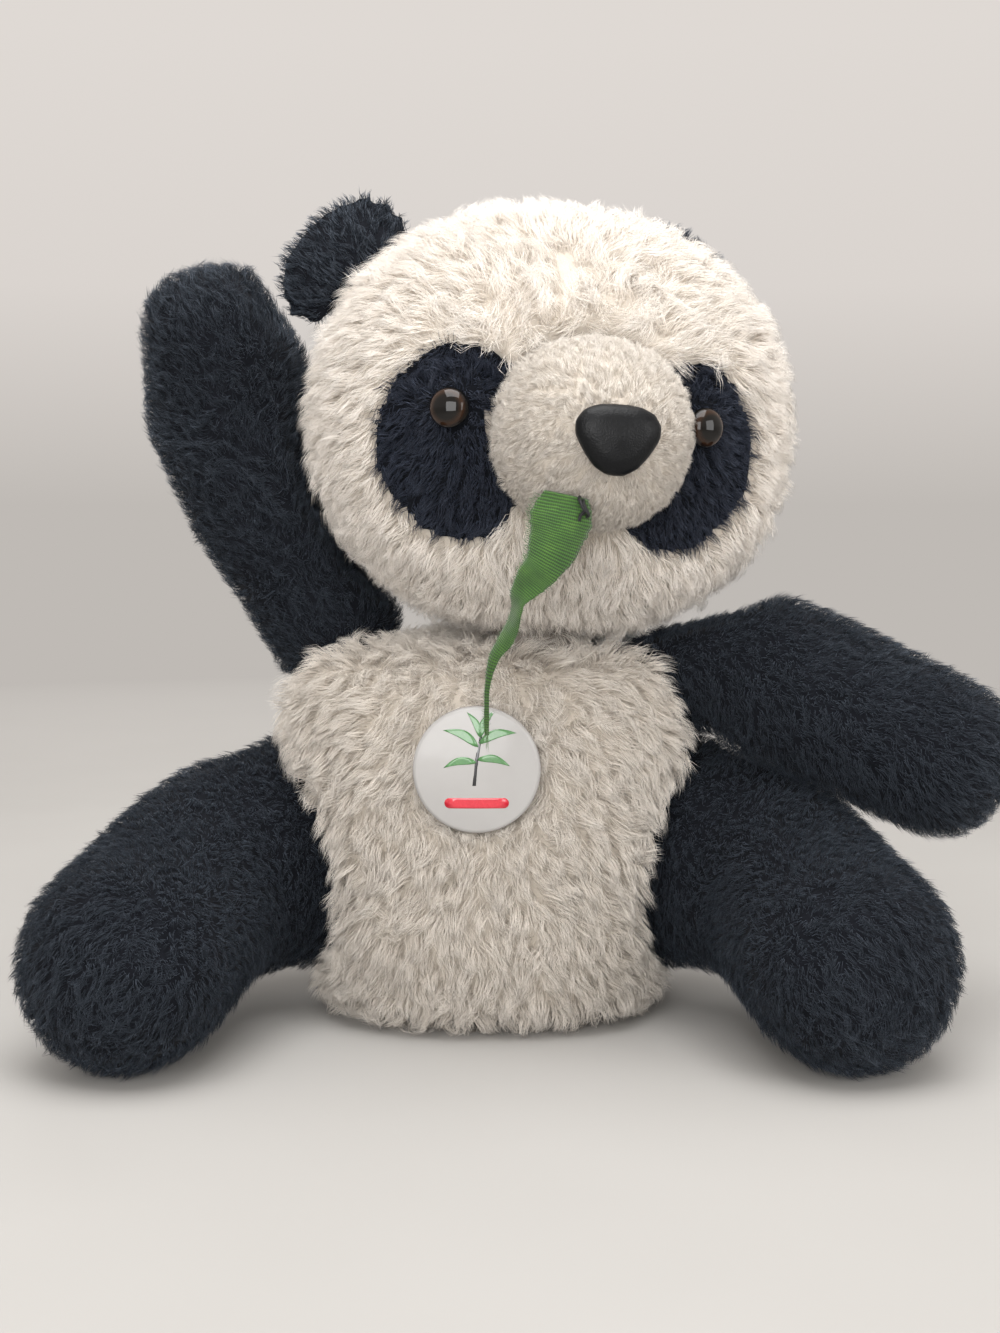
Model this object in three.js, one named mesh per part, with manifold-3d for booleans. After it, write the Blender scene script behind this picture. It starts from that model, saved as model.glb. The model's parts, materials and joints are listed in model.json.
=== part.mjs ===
// A seated plush panda, 405 mm tall, as separate sewn panels, fillings and hard trim.
//
// Millimetres, +Z up. The panda faces -Y and its own right side is at -X. The origin is the middle
// of the flattened seat, on the surface that the toy sits on. "Right" and "left" are the panda's own.
// Every soft solid's outer face is the middle of its pile, so fur stands a little proud of it.
import * as THREE from "three";
import { ConvexGeometry } from "three/addons/geometries/ConvexGeometry.js";
import { mergeVertices } from "three/addons/utils/BufferGeometryUtils.js";
import Module from "manifold-3d";

const wasm = await Module();
wasm.setup();

// ---------------------------------------------------------------- driving sizes

const GAP = 0.3; // between pieces that touch
const JOINT_GAP = 1.5; // between bodies that move on each other
const LONG_PILE = 9; // thickness of the long white fur cloth, backing and pile
const SHORT_PILE = 5; // thickness of the short black or white fur cloth

const TORSO = { height: 184, halfWidth: 104, halfDepth: 90, squareness: 2.3, seamY: 12 };
// Share of the height, then of the half width and half depth.
const TORSO_STATIONS = [
  [0.0, 0.68, 0.64],
  [0.065, 0.85, 0.84],
  [0.25, 0.94, 0.95],
  [0.49, 0.98, 1.0],
  [0.71, 1.0, 0.98],
  [0.87, 0.98, 0.89],
  [0.95, 0.91, 0.78],
  [0.99, 0.7, 0.56],
];

const NECK = { x: 22, y: -13, radius: 30 }; // the ball of filling at the neck, on top of the torso
const HEAD = {
  halfWidth: 119, halfDepth: 102, halfHeight: 104, squareness: 2.15, turn: 10, lean: 4, seamY: 14,
};
const MUZZLE = { halfWidth: 45, halfDepth: 47, halfHeight: 43, squareness: 2.2, y: -92, z: -8 };
const NOSE = { halfWidth: 18, halfHeight: 15, depth: 11, z: -11, post: 3, postLength: 24, washer: 12 };
const FACE_SHIFT = -3; // the eyes and their patches sit round to the right of the muzzle, as sewn by hand
const EYE = { radius: 9, dome: 6, turn: 32.5, z: -1, post: 2.2, postLength: 19, washer: 9 };
const PATCH = { turn: 34, halfWidth: 34, halfHeight: 41, z: -16, tilt: 6, reach: 50 };
const WASHER_THICK = 1.4;

const EAR = { halfWidth: 36, height: 44, halfThick: 8, gap: 2, skin: 2.6 };
const EAR_SPOTS = { right: { turn: 116, z: 60 }, left: { turn: 126, z: 74 } };

// Each joint's lowest and highest angle, in degrees from how the toy sits.
const SWING = {
  turn: [-25, 25], nod: [-10, 10], hip: [-6, 12], armRight: [0, 70], armLeft: [0, 35], ear: [-8, 8],
};

const SHOULDER = { radius: 31 };
const ARM_RIGHT = {
  pivot: [-74, 14, TORSO.height - 6],
  through: [[-26, 5, 54], [-55, 6, 114], [-57, -18, 188]], // from the pivot
  side: [1, 0, 0],
  widths: [31, 35, 42, 43, 38],
  thicks: [31, 34, 38, 37, 32],
  turnsAbout: [0, -1, 0],
  swing: SWING.armRight,
};
const ARM_LEFT = {
  pivot: [80, 2, TORSO.height - 13],
  through: [[38, -15, 5], [82, -36, -18], [126, -55, -36], [161, -70, -50]], // from the pivot
  side: [0, 0, 1],
  widths: [31, 36, 42, 40, 35],
  thicks: [31, 34, 38, 37, 33],
  turnsAbout: [0, -0.5, 0.866],
  swing: SWING.armLeft,
};
const ARM_TIP = 30; // length of the rounded end of the paw

const HIP = { x: 97, y: 0, z: 76, radius: 46, halfHeight: 61 };
const THIGH = { out: 40, forward: 32, z: 68 }; // from the hip to where the thigh turns forward
const FOOT = { x: 160, y: -112, z: 48.5, radius: 49, turn: 24, soleDepth: 45, soleSeam: 4 };

const TAIL = { y: 90, z: 44, root: 19, reach: 16, halfWidth: 20, halfLength: 17, halfHeight: 18, open: 6 };

const BADGE = { radius: 29, dome: 4.5, rim: 4, x: -5.5, z: 131, roll: -5, filmThick: 0.35, shellThick: 0.6 };
const BADGE_RECESS = 7; // the pile is pressed flat behind the badge
const PIN = { wire: 0.55, halfLength: 20, rise: 8, behind: 2.2 };

const STITCH = { wire: 0.7, x: -3, z: -43 };
const LEAF = { thick: 0.8, rings: 34, from: [-12.49, -2.97, 8.44] }; // from: its top, from the mouth's stitch
// The leaf's middle line from where the mouth holds it, down to the badge, with its half width and its turn
// about that line.
const LEAF_STATIONS = [
  [0, 0, 0, 9.5, -6],
  [-2.5, -0.5, -11.5, 12.8, -4],
  [-5.5, 0, -21, 11, 2],
  [-10.4, 1, -30.5, 8, 12],
  [-15, 2.5, -36, 7, 18],
  [-20.5, 5.5, -43, 5, 44],
  [-21.5, 7.5, -49, 4.2, 60],
  [-23, 10.5, -55.5, 4, 52],
  [-26, 13.5, -62.1, 3.6, 40],
  [-31, 17.5, -70.5, 2.4, 35],
  [-33.6, 24.5, -83.5, 1.2, 30],
  [-33.9, 31.5, -95.5, 1.1, 15],
  [-33.9, 36.5, -106, 1, 0],
];

const CLOSING = { from: 74, to: 126, wire: 0.8, halfWidth: 3, stitches: 9 };

// ---------------------------------------------------------------- materials

const material = (color, roughness, metalness = 0) =>
  new THREE.MeshStandardMaterial({ color, roughness, metalness });
const WHITE_FUR = material(0xe9e2d8, 0.95);
const WHITE_PLUSH = material(0xe4dccf, 0.95);
const BLACK_FUR = material(0x14161b, 0.95);
const FILLING = material(0xf2f2f0, 1.0);
const GLOSS_BLACK = material(0x0d0b0a, 0.15);
const NOSE_BLACK = material(0x15161a, 0.45);
const WASHER_WHITE = material(0xd8d8d4, 0.6);
const THREAD_BLACK = material(0x101010, 0.8);
const THREAD_WHITE = material(0xe8e4dc, 0.8);
const LEAF_GREEN = material(0x2f6a1f, 0.85);
const BADGE_PAPER = material(0xdedede, 0.7);
const BADGE_FILM = material(0xf4f4f4, 0.08);
const STEEL = material(0xb4b4b2, 0.3, 1);

// ---------------------------------------------------------------- solids

const radians = THREE.MathUtils.degToRad;
const vector = (p) => new THREE.Vector3(...p);

// A closed geometry as a manifold solid, turned to face outwards.
function solid(geometry, matrix = new THREE.Matrix4()) {
  const plain = geometry.index ? geometry.toNonIndexed() : geometry.clone();
  plain.deleteAttribute("normal");
  plain.deleteAttribute("uv");
  const merged = mergeVertices(plain.applyMatrix4(matrix), 1e-3);
  const triVerts = new Uint32Array(merged.index.array);
  const build = () =>
    new wasm.Manifold(
      new wasm.Mesh({ numProp: 3, vertProperties: merged.attributes.position.array, triVerts }),
    );
  const made = build();
  if (made.volume() > 0) return made;
  for (let i = 0; i < triVerts.length; i += 3) {
    [triVerts[i + 1], triVerts[i + 2]] = [triVerts[i + 2], triVerts[i + 1]];
  }
  return build();
}

function meshOf(name, body, look) {
  const made = mainPiece(body).getMesh();
  const positions = new Float32Array(made.numVert * 3);
  for (let i = 0; i < made.numVert; i++) {
    positions.set(made.vertProperties.subarray(i * made.numProp, i * made.numProp + 3), i * 3);
  }
  const geometry = new THREE.BufferGeometry();
  geometry.setAttribute("position", new THREE.BufferAttribute(positions, 3));
  geometry.setIndex(new THREE.BufferAttribute(made.triVerts, 1));
  geometry.computeVertexNormals();
  const mesh = new THREE.Mesh(geometry, look);
  mesh.name = name;
  return mesh;
}

// Rings of equal count between two end points, as one closed solid.
function loft(rings, first, last) {
  const count = rings[0].length;
  const points = [first, ...rings.flat(), last];
  const end = points.length - 1;
  const index = [];
  const at = (ring, k) => 1 + ring * count + (k % count);
  for (let k = 0; k < count; k++) {
    index.push(0, at(0, k + 1), at(0, k));
    index.push(end, at(rings.length - 1, k), at(rings.length - 1, k + 1));
    for (let r = 0; r + 1 < rings.length; r++) {
      index.push(at(r, k), at(r, k + 1), at(r + 1, k));
      index.push(at(r, k + 1), at(r + 1, k + 1), at(r + 1, k));
    }
  }
  const geometry = new THREE.BufferGeometry().setFromPoints(points);
  geometry.setIndex(index);
  return solid(geometry);
}

// A value at share s along a list of evenly spaced values, joined smoothly.
function valueAt(values, s) {
  const curve = new THREE.SplineCurve(values.map((v, i) => new THREE.Vector2(i, v)));
  return curve.getPoint(s).y;
}

// How far along each half axis a superellipse of this squareness reaches at an angle.
function squared(angle, squareness) {
  const c = Math.cos(angle);
  const s = Math.sin(angle);
  const reach = (Math.abs(c) ** squareness + Math.abs(s) ** squareness) ** (-1 / squareness);
  return [c * reach, s * reach];
}

// A rounded box-like ball: rx, ry, rz half sizes about a centre.
function ball(rx, ry, rz, squareness = 2, centre = [0, 0, 0], segments = 18, rows = 10) {
  const middle = vector(centre);
  const point = (turn, rise) => {
    const d = [Math.cos(rise) * Math.cos(turn), Math.cos(rise) * Math.sin(turn), Math.sin(rise)];
    const sum = [rx, ry, rz].reduce((t, r, i) => t + Math.abs(d[i] / r) ** squareness, 0);
    return vector(d).multiplyScalar(sum ** (-1 / squareness)).add(middle);
  };
  const rings = [];
  for (let r = 1; r < rows; r++) {
    const rise = -Math.PI / 2 + (Math.PI * r) / rows;
    rings.push(Array.from({ length: segments }, (_, k) => point((2 * Math.PI * k) / segments, rise)));
  }
  return loft(rings, point(0, -Math.PI / 2), point(0, Math.PI / 2));
}

// Shares of a length at which a sweep has its rings, closer together at the rounded ends.
function ringShares(rootShare, tipShare, middle) {
  const shares = [];
  for (const k of [0.25, 0.5, 0.75]) shares.push(rootShare * (1 - Math.cos((k * Math.PI) / 2)));
  for (let k = 0; k <= middle; k++) shares.push(rootShare + ((1 - rootShare - tipShare) * k) / middle);
  for (const k of [0.75, 0.5, 0.25]) shares.push(1 - tipShare * (1 - Math.cos((k * Math.PI) / 2)));
  return shares;
}

// The point and direction of a spine at a share of its length, carried straight on past its ends.
function spineAt(spine, share) {
  const held = Math.min(1, Math.max(0, share));
  const tangent = spine.getTangentAt(held);
  const point = spine.getPointAt(held).addScaledVector(tangent, (share - held) * spine.getLength());
  return { point, tangent, held };
}

// A stuffed limb along a spine: round over its root length and its tip length, shrunk by inset.
function limb({ spine, side, widths, thicks, root, tip, tipSquareness = 2 }, inset, segments = 16) {
  const length = spine.getLength();
  const from = inset / length;
  const span = 1 - 2 * from;
  const shares = ringShares((root - inset) / (length - 2 * inset), (tip - inset) / (length - 2 * inset), 4);
  const rings = shares.map((share) => {
    const { point: centre, tangent, held: along } = spineAt(spine, from + share * span);
    const across = vector(side).addScaledVector(tangent, -vector(side).dot(tangent)).normalize();
    const up = new THREE.Vector3().crossVectors(tangent, across);
    const atRoot = Math.max(0, 1 - (share * (length - 2 * inset)) / (root - inset));
    const atTip = Math.max(0, 1 - ((1 - share) * (length - 2 * inset)) / (tip - inset));
    const cap = Math.sqrt(1 - atRoot ** 2) * (1 - atTip ** tipSquareness) ** (1 / tipSquareness);
    const a = (valueAt(widths, along) - inset) * cap;
    const b = (valueAt(thicks, along) - inset) * cap;
    return Array.from({ length: segments }, (_, k) => {
      const angle = (2 * Math.PI * k) / segments;
      const [c, s] = [Math.cos(angle), Math.sin(angle)];
      return centre.clone().addScaledVector(across, a * c).addScaledVector(up, b * s);
    });
  });
  return loft(rings, spineAt(spine, from).point, spineAt(spine, 1 - from).point);
}

// A round bar along points, with a polygon section of this many sides.
function bar(points, radius, sides = 6, steps = points.length * 2) {
  const section = new THREE.Shape(
    Array.from({ length: sides }, (_, k) => {
      const angle = (2 * Math.PI * k) / sides;
      return new THREE.Vector2(radius * Math.cos(angle), radius * Math.sin(angle));
    }),
  );
  const path = new THREE.CatmullRomCurve3(points.map(vector), false, "centripetal");
  return solid(new THREE.ExtrudeGeometry(section, { extrudePath: path, steps, bevelEnabled: false }));
}

// A turned solid about +Z from [radius, height] points that start and end on the axis.
function turned(profile, segments = 24) {
  return solid(new THREE.LatheGeometry(profile.map(([r, h]) => new THREE.Vector2(r, h)), segments),
    new THREE.Matrix4().makeRotationX(Math.PI / 2));
}

// The move that puts the origin at a point and +Z along a direction.
function placeAlong(point, direction) {
  const up = new THREE.Vector3(0, 0, 1);
  const look = new THREE.Quaternion().setFromUnitVectors(up, vector(direction).normalize());
  return new THREE.Matrix4().compose(vector(point), look, new THREE.Vector3(1, 1, 1));
}

// A large block on one side of a plane through a point, the side that the normal points to.
function beyond(point, normal, size = 1200) {
  const place = placeAlong(point, normal);
  return solid(new THREE.BoxGeometry(size, size, size).translate(0, 0, size / 2), place);
}

// Copies of a solid turned about an axis through a point, one for each angle.
function swung(body, point, axis, angles) {
  return angles.map((angle) => {
    const turn = new THREE.Matrix4()
      .makeTranslation(...point)
      .multiply(new THREE.Matrix4().makeRotationAxis(vector(axis).normalize(), radians(angle)))
      .multiply(new THREE.Matrix4().makeTranslation(...point.map((v) => -v)));
    return body.transform(turn.elements);
  });
}

// The tightest solid without hollows that holds all of these solids.
function wrapped(bodies) {
  const points = bodies.flatMap((body) => {
    const { numVert, numProp, vertProperties } = body.getMesh();
    const pointAt = (_, i) => vector(vertProperties.subarray(i * numProp, i * numProp + 3));
    return Array.from({ length: numVert }, pointAt);
  });
  return solid(new ConvexGeometry(points));
}

// The biggest single piece of a cut solid, without the crumbs that thin cuts leave.
function mainPiece(body) {
  const pieces = body.decompose();
  return pieces.reduce((best, piece) => (piece.volume() > best.volume() ? piece : best));
}

// Evenly spread angles from the lowest to the highest.
const spread = ([low, high], count) =>
  Array.from({ length: count }, (_, k) => low + ((high - low) * k) / (count - 1));

// A solid moved so that its +Z runs along a direction from a point.
function aimed(body, point, direction) {
  return body.transform(placeAlong(point, direction).elements);
}

const panda = new THREE.Group();
const torsoGroup = new THREE.Group();
const headGroup = new THREE.Group();
panda.add(torsoGroup, headGroup);

// ---------------------------------------------------------------- torso

function torsoBody(inset) {
  const segments = 24;
  const height = TORSO.height - 2 * inset;
  const rings = TORSO_STATIONS.map(([rise, wide, deep]) =>
    Array.from({ length: segments }, (_, k) => {
      const [c, s] = squared((2 * Math.PI * k) / segments, TORSO.squareness);
      const a = Math.max(4, TORSO.halfWidth * wide - inset);
      const b = Math.max(4, TORSO.halfDepth * deep - inset);
      return new THREE.Vector3(a * c, b * s, inset + rise * height);
    }),
  );
  return loft(rings, new THREE.Vector3(0, 0, inset), new THREE.Vector3(0, 0, inset + height));
}

const neckPivot = [NECK.x, NECK.y, TORSO.height];
const neckBall = (extra) =>
  ball(NECK.radius + extra, NECK.radius + extra, NECK.radius + extra, 2, neckPivot, 16, 8);
const shoulderBall = (pivot) => {
  const radius = SHOULDER.radius + JOINT_GAP;
  return ball(radius, radius, radius, 2, pivot, 18, 10);
};

// ---------------------------------------------------------------- legs

const footForward = [Math.sin(radians(FOOT.turn)), -Math.cos(radians(FOOT.turn)), 0];

// The left leg: a thigh that turns about the upright line through the hip, and a foot like a ball.
function legBody(inset, segments = 14) {
  const sole = vector([FOOT.x, FOOT.y, FOOT.z]).addScaledVector(vector(footForward), FOOT.soleDepth);
  const spine = new THREE.CatmullRomCurve3([
    new THREE.Vector3(HIP.x, HIP.y, HIP.z),
    new THREE.Vector3(HIP.x + THIGH.out, HIP.y - THIGH.forward, THIGH.z),
    new THREE.Vector3(FOOT.x, FOOT.y, FOOT.z),
    sole,
  ]);
  const shank = limb(
    {
      spine,
      side: [0, 0, 1],
      widths: [HIP.halfHeight - 4, 56, 51, FOOT.radius, FOOT.radius],
      thicks: [HIP.radius - 2, 45, 45, FOOT.radius, FOOT.radius],
      root: 12,
      tip: FOOT.soleDepth,
      tipSquareness: 2.3,
    },
    inset,
    segments,
  );
  const radius = HIP.radius - inset;
  const thigh = ball(radius, radius, HIP.halfHeight - inset, 2, [HIP.x, HIP.y, HIP.z], segments, 8);
  return shank.add(thigh).subtract(beyond([0, 0, Math.max(inset, 0)], [0, 0, -1], 800));
}

// The room that the left leg takes up over its whole swing, grown by this much.
const legRoom = (extra) =>
  wrapped(swung(legBody(-extra, 10), [HIP.x, HIP.y, HIP.z], [0, 0, 1], spread(SWING.hip, 3)));

function legPieces() {
  const outer = legBody(0);
  const shell = outer.subtract(legBody(SHORT_PILE));
  const seam = vector([FOOT.x, FOOT.y, FOOT.z]).addScaledVector(vector(footForward), FOOT.soleSeam);
  const back = seam.clone().addScaledVector(vector(footForward), -GAP);
  const opening = beyond([HIP.x - 4, HIP.y + 6, HIP.z], [-0.8, 0.6, 0]);
  const beforeSole = beyond(back.toArray(), footForward.map((v) => -v));
  return {
    skin: shell.intersect(beforeSole).subtract(opening),
    sole: shell.intersect(beyond(seam.toArray(), footForward)),
    filling: legBody(SHORT_PILE + GAP),
  };
}

const mirrored = (body) => body.mirror([1, 0, 0]);

// ---------------------------------------------------------------- arm shape and tail root

function armShape({ pivot, through, side, widths, thicks }) {
  const centre = vector(pivot);
  const outwards = vector(through[0]).normalize();
  const beyondIt = through.map((step) => vector(step).add(centre));
  const start = centre.clone().addScaledVector(outwards, -SHOULDER.radius);
  return {
    spine: new THREE.CatmullRomCurve3([start, centre, ...beyondIt]),
    side,
    widths,
    thicks,
    root: SHOULDER.radius,
    tip: ARM_TIP,
    tipSquareness: 2.5,
  };
}

function tailRoot(inset) {
  const radius = TAIL.root - inset;
  return ball(radius, radius, radius, 2, [0, TAIL.y, TAIL.z], 12, 8);
}

// ---------------------------------------------------------------- torso pieces

const leg = legPieces();
// The thighs and arms press the body in beside them, over the whole range that they swing through.
const thighRoom = legRoom(2 * JOINT_GAP);
const armRoom = (arm) =>
  wrapped(swung(limb(armShape(arm), -2 * JOINT_GAP, 10), arm.pivot, arm.turnsAbout, spread(arm.swing, 4)));
const socket = wasm.Manifold.union([
  neckBall(JOINT_GAP),
  shoulderBall(ARM_RIGHT.pivot),
  shoulderBall(ARM_LEFT.pivot),
  armRoom(ARM_RIGHT),
  armRoom(ARM_LEFT),
  thighRoom,
  mirrored(thighRoom),
  tailRoot(-JOINT_GAP),
]);

const badgeFront = TORSO.halfDepth - 2;
const badgePlace = new THREE.Matrix4()
  .makeTranslation(BADGE.x, -badgeFront, BADGE.z)
  .multiply(new THREE.Matrix4().makeRotationX(Math.PI / 2))
  .multiply(new THREE.Matrix4().makeRotationZ(radians(BADGE.roll)));
const recess = solid(
  new THREE.CylinderGeometry(BADGE.radius + 2, BADGE.radius + 2, 40, 28)
    .rotateX(Math.PI / 2)
    .translate(0, 0, 20 - BADGE_RECESS),
  badgePlace,
);

const torsoShell = torsoBody(0).subtract(torsoBody(LONG_PILE)).subtract(socket);
const behindSeam = beyond([0, TORSO.seamY, 0], [0, 1, 0]);
const beforeSeam = beyond([0, TORSO.seamY - GAP, 0], [0, -1, 0]);
const rightHalf = beyond([-GAP / 2, 0, 0], [-1, 0, 0]);
const leftHalf = beyond([GAP / 2, 0, 0], [1, 0, 0]);
const closingBack = TORSO.halfDepth;

function closingThread() {
  const points = [];
  for (let k = 0; k <= CLOSING.stitches; k++) {
    const side = k % 2 ? 1 : -1;
    const z = CLOSING.from + ((CLOSING.to - CLOSING.from) * k) / CLOSING.stitches;
    points.push([side * CLOSING.halfWidth, closingBack + 1.2, z]);
  }
  return bar(points, CLOSING.wire, 5, CLOSING.stitches * 3);
}

torsoGroup.add(
  meshOf("torso_front_panel", torsoShell.intersect(beforeSeam).subtract(recess), WHITE_FUR),
  meshOf("torso_back_panel_right", torsoShell.intersect(behindSeam).intersect(rightHalf), WHITE_FUR),
  meshOf("torso_back_panel_left", torsoShell.intersect(behindSeam).intersect(leftHalf), WHITE_FUR),
  meshOf("torso_stuffing", torsoBody(LONG_PILE + GAP).subtract(socket), FILLING),
  meshOf("closing_stitches", closingThread(), THREAD_WHITE),
  meshOf("neck_stuffing", neckBall(0), FILLING),
);
for (const [side, body] of [["left", (b) => b], ["right", mirrored]]) {
  torsoGroup.add(
    meshOf(`leg_${side}_skin`, body(leg.skin), BLACK_FUR),
    meshOf(`leg_${side}_sole`, body(leg.sole), BLACK_FUR),
    meshOf(`leg_${side}_stuffing`, body(leg.filling), FILLING),
  );
}

// ---------------------------------------------------------------- arms

// Two panels sewn along the arm's outline, with the armhole left open towards the torso.
function addArm(side, arm, pressing) {
  const { pivot, through, side: across } = arm;
  const centre = vector(pivot);
  const outwards = vector(through[0]).normalize();
  const body = (inset) => limb(armShape(arm), inset).subtract(pressing(inset));
  const shell = body(0)
    .subtract(body(SHORT_PILE))
    .subtract(beyond(centre.toArray(), outwards.clone().negate().toArray()));
  const end = vector(through[through.length - 1]).add(centre);
  const along = end.clone().sub(centre).normalize();
  const normal = new THREE.Vector3().crossVectors(vector(across), along).normalize();
  const facing = normal.y < 0 ? normal : normal.negate();
  const middle = centre.clone().lerp(end, 0.5);
  const behind = middle.clone().addScaledVector(facing, -GAP);
  torsoGroup.add(
    meshOf(`arm_${side}_front_panel`,
      shell.intersect(beyond(middle.toArray(), facing.toArray())), BLACK_FUR),
    meshOf(`arm_${side}_back_panel`,
      shell.intersect(beyond(behind.toArray(), facing.clone().negate().toArray())), BLACK_FUR),
    meshOf(`arm_${side}_stuffing`, body(SHORT_PILE + GAP), FILLING),
  );
}

// ---------------------------------------------------------------- tail

function tailBody(inset) {
  const tip = ball(TAIL.halfWidth - inset, TAIL.halfLength - inset, TAIL.halfHeight - inset, 2,
    [0, TAIL.y + TAIL.reach, TAIL.z], 12, 8);
  return tailRoot(inset).add(tip);
}
const tailOpening = beyond([0, TAIL.y - TAIL.open, 0], [0, -1, 0]);
torsoGroup.add(
  meshOf("tail_skin", tailBody(0).subtract(tailBody(SHORT_PILE)).subtract(tailOpening), WHITE_FUR),
  meshOf("tail_stuffing", tailBody(SHORT_PILE + GAP), FILLING),
);

// ---------------------------------------------------------------- badge

// A shallow dome from outside to inside, as a shell of this thickness inset from the badge's front.
function badgeCap(offset, thick) {
  const outer = BADGE.radius - offset;
  const inner = outer - thick;
  const top = BADGE.rim + BADGE.dome - offset;
  const shoulder = BADGE.rim - offset;
  const arc = (radius, peak, foot, reverse) => {
    const points = [0, 0.5, 0.82, 1].map((s) => [radius * s, foot + (peak - foot) * Math.sqrt(1 - s * s)]);
    return reverse ? points.reverse() : points;
  };
  return turned([...arc(outer, top, shoulder, false), [outer, 0], [inner, 0],
    ...arc(inner, top - thick, shoulder - thick, true)], 26);
}

function pinWire() {
  const back = -PIN.behind;
  return bar([
    [-PIN.halfLength, PIN.rise, 1], [-PIN.halfLength - 1.5, PIN.rise, back * 0.6],
    [-PIN.halfLength + 1, PIN.rise, back], [0, PIN.rise, back],
    [PIN.halfLength - 3, PIN.rise, back], [PIN.halfLength + 1, PIN.rise, back * 0.9],
  ], PIN.wire, 6, 18);
}

const pinHole = solid(new THREE.BoxGeometry(6, 5, 12).translate(-PIN.halfLength, PIN.rise, 2));
const shellOffset = 2 * (BADGE.filmThick + GAP);
const backRadius = BADGE.radius - shellOffset - BADGE.shellThick - GAP;
const badgeBack = turned([[0, 0.2], [backRadius, 0.2], [backRadius, 1.2], [0, 1.2]], 26)
  .subtract(pinHole);
const film = badgeCap(0, BADGE.filmThick);
const print = badgeCap(BADGE.filmThick + GAP, BADGE.filmThick);
const shell = badgeCap(shellOffset, BADGE.shellThick);
torsoGroup.add(
  meshOf("badge_film", film.transform(badgePlace.elements), BADGE_FILM),
  meshOf("badge_print", print.transform(badgePlace.elements), BADGE_PAPER),
  meshOf("badge_shell", shell.transform(badgePlace.elements), STEEL),
  meshOf("badge_back_plate", badgeBack.transform(badgePlace.elements), STEEL),
  meshOf("badge_pin", pinWire().transform(badgePlace.elements), STEEL),
);

// ---------------------------------------------------------------- head

// The head group's own origin is the neck joint. The head's middle is straight above it.
headGroup.position.set(...neckPivot);
headGroup.rotation.set(0, radians(HEAD.lean), radians(HEAD.turn), "ZYX");
const headCentre = new THREE.Group();
headCentre.position.z = HEAD.halfHeight + 1;
headGroup.add(headCentre);

const headBody = (inset, segments = 22, rows = 12) => {
  const sizes = [HEAD.halfWidth, HEAD.halfDepth, HEAD.halfHeight].map((size) => size - inset);
  return ball(...sizes, HEAD.squareness, [0, 0, 0], segments, rows);
};
const muzzleBody = (inset) =>
  ball(MUZZLE.halfWidth - inset, MUZZLE.halfDepth - inset, MUZZLE.halfHeight - inset, MUZZLE.squareness,
    [0, MUZZLE.y, MUZZLE.z], 16, 10);
const neckHole = ball(NECK.radius + JOINT_GAP, NECK.radius + JOINT_GAP, NECK.radius + JOINT_GAP, 2,
  [0, 0, -headCentre.position.z], 16, 8);

// Where a level line from the head's middle, turned from straight ahead, meets the head at height z.
function faceSpot(turn, z, inset) {
  const p = HEAD.squareness;
  const [a, b, c] = [HEAD.halfWidth - inset, HEAD.halfDepth - inset, HEAD.halfHeight - inset];
  const level = (1 - Math.abs(z / c) ** p) ** (1 / p);
  const [s, k] = [Math.sin(radians(turn)), -Math.cos(radians(turn))];
  const reach = level * (Math.abs(s / a) ** p + Math.abs(k / b) ** p) ** (-1 / p);
  return new THREE.Vector3(s * reach, k * reach, z);
}

// The outward direction of the head's surface at a spot.
function faceNormal(spot) {
  const sizes = [HEAD.halfWidth, HEAD.halfDepth, HEAD.halfHeight];
  const p = HEAD.squareness;
  const parts = spot.toArray().map((v, i) => (Math.sign(v) * Math.abs(v / sizes[i]) ** (p - 1)) / sizes[i]);
  return vector(parts).normalize();
}

// An egg outline on the face, as a prism that reaches from inside the head to outside it.
function patchPrism(side, extra) {
  const tilt = -radians(PATCH.tilt) * side;
  const outline = Array.from({ length: 16 }, (_, k) => {
    const angle = (2 * Math.PI * k) / 16;
    const u = (PATCH.halfWidth + extra) * Math.cos(angle);
    const v = (PATCH.halfHeight + extra) * Math.sin(angle);
    return new THREE.Vector2(u, v).rotateAround(new THREE.Vector2(), -tilt);
  });
  const prism = new THREE.ExtrudeGeometry(new THREE.Shape(outline), { depth: 90, bevelEnabled: false });
  const place = new THREE.Matrix4()
    .makeRotationZ(radians(PATCH.turn * side + FACE_SHIFT))
    .multiply(new THREE.Matrix4().makeTranslation(0, -PATCH.reach, PATCH.z))
    .multiply(new THREE.Matrix4().makeRotationX(Math.PI / 2));
  return solid(prism, place);
}

// A moulded post with ribs that the washer locks on, pointing to -Z.
function ribbedPost(radius, length) {
  const profile = [[0, 0.5], [radius - 0.5, 0.5]];
  for (let z = 4; z + 3 < length; z += 5) {
    profile.push([radius - 0.5, -z], [radius, -z - 1], [radius - 0.5, -z - 2]);
  }
  profile.push([radius - 0.5, 1 - length], [radius * 0.4, -length], [0, -length]);
  return turned(profile.reverse(), 8);
}

// A toothed lock washer around a post at the origin, lying in the XY plane.
function washer(radius, hole) {
  return turned([[hole, 0], [radius, 0], [radius, WASHER_THICK], [hole, WASHER_THICK], [hole, 0]], 18);
}

const holdNeck = (body) => body.subtract(neckHole);
const headOuter = headBody(0);
const headShell = headOuter.subtract(headBody(LONG_PILE));
const muzzleInHead = muzzleBody(-GAP);
const noseSpot = vector([0, MUZZLE.y - MUZZLE.halfDepth, NOSE.z]);
const washerDepth = LONG_PILE + 4.5;

const sides = [["right", -1], ["left", 1]];
const eyeSpots = Object.fromEntries(sides.map(([name, side]) => {
  const spot = faceSpot(EYE.turn * side + FACE_SHIFT, EYE.z, 0);
  return [name, { spot, normal: faceNormal(spot) }];
}));

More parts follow.
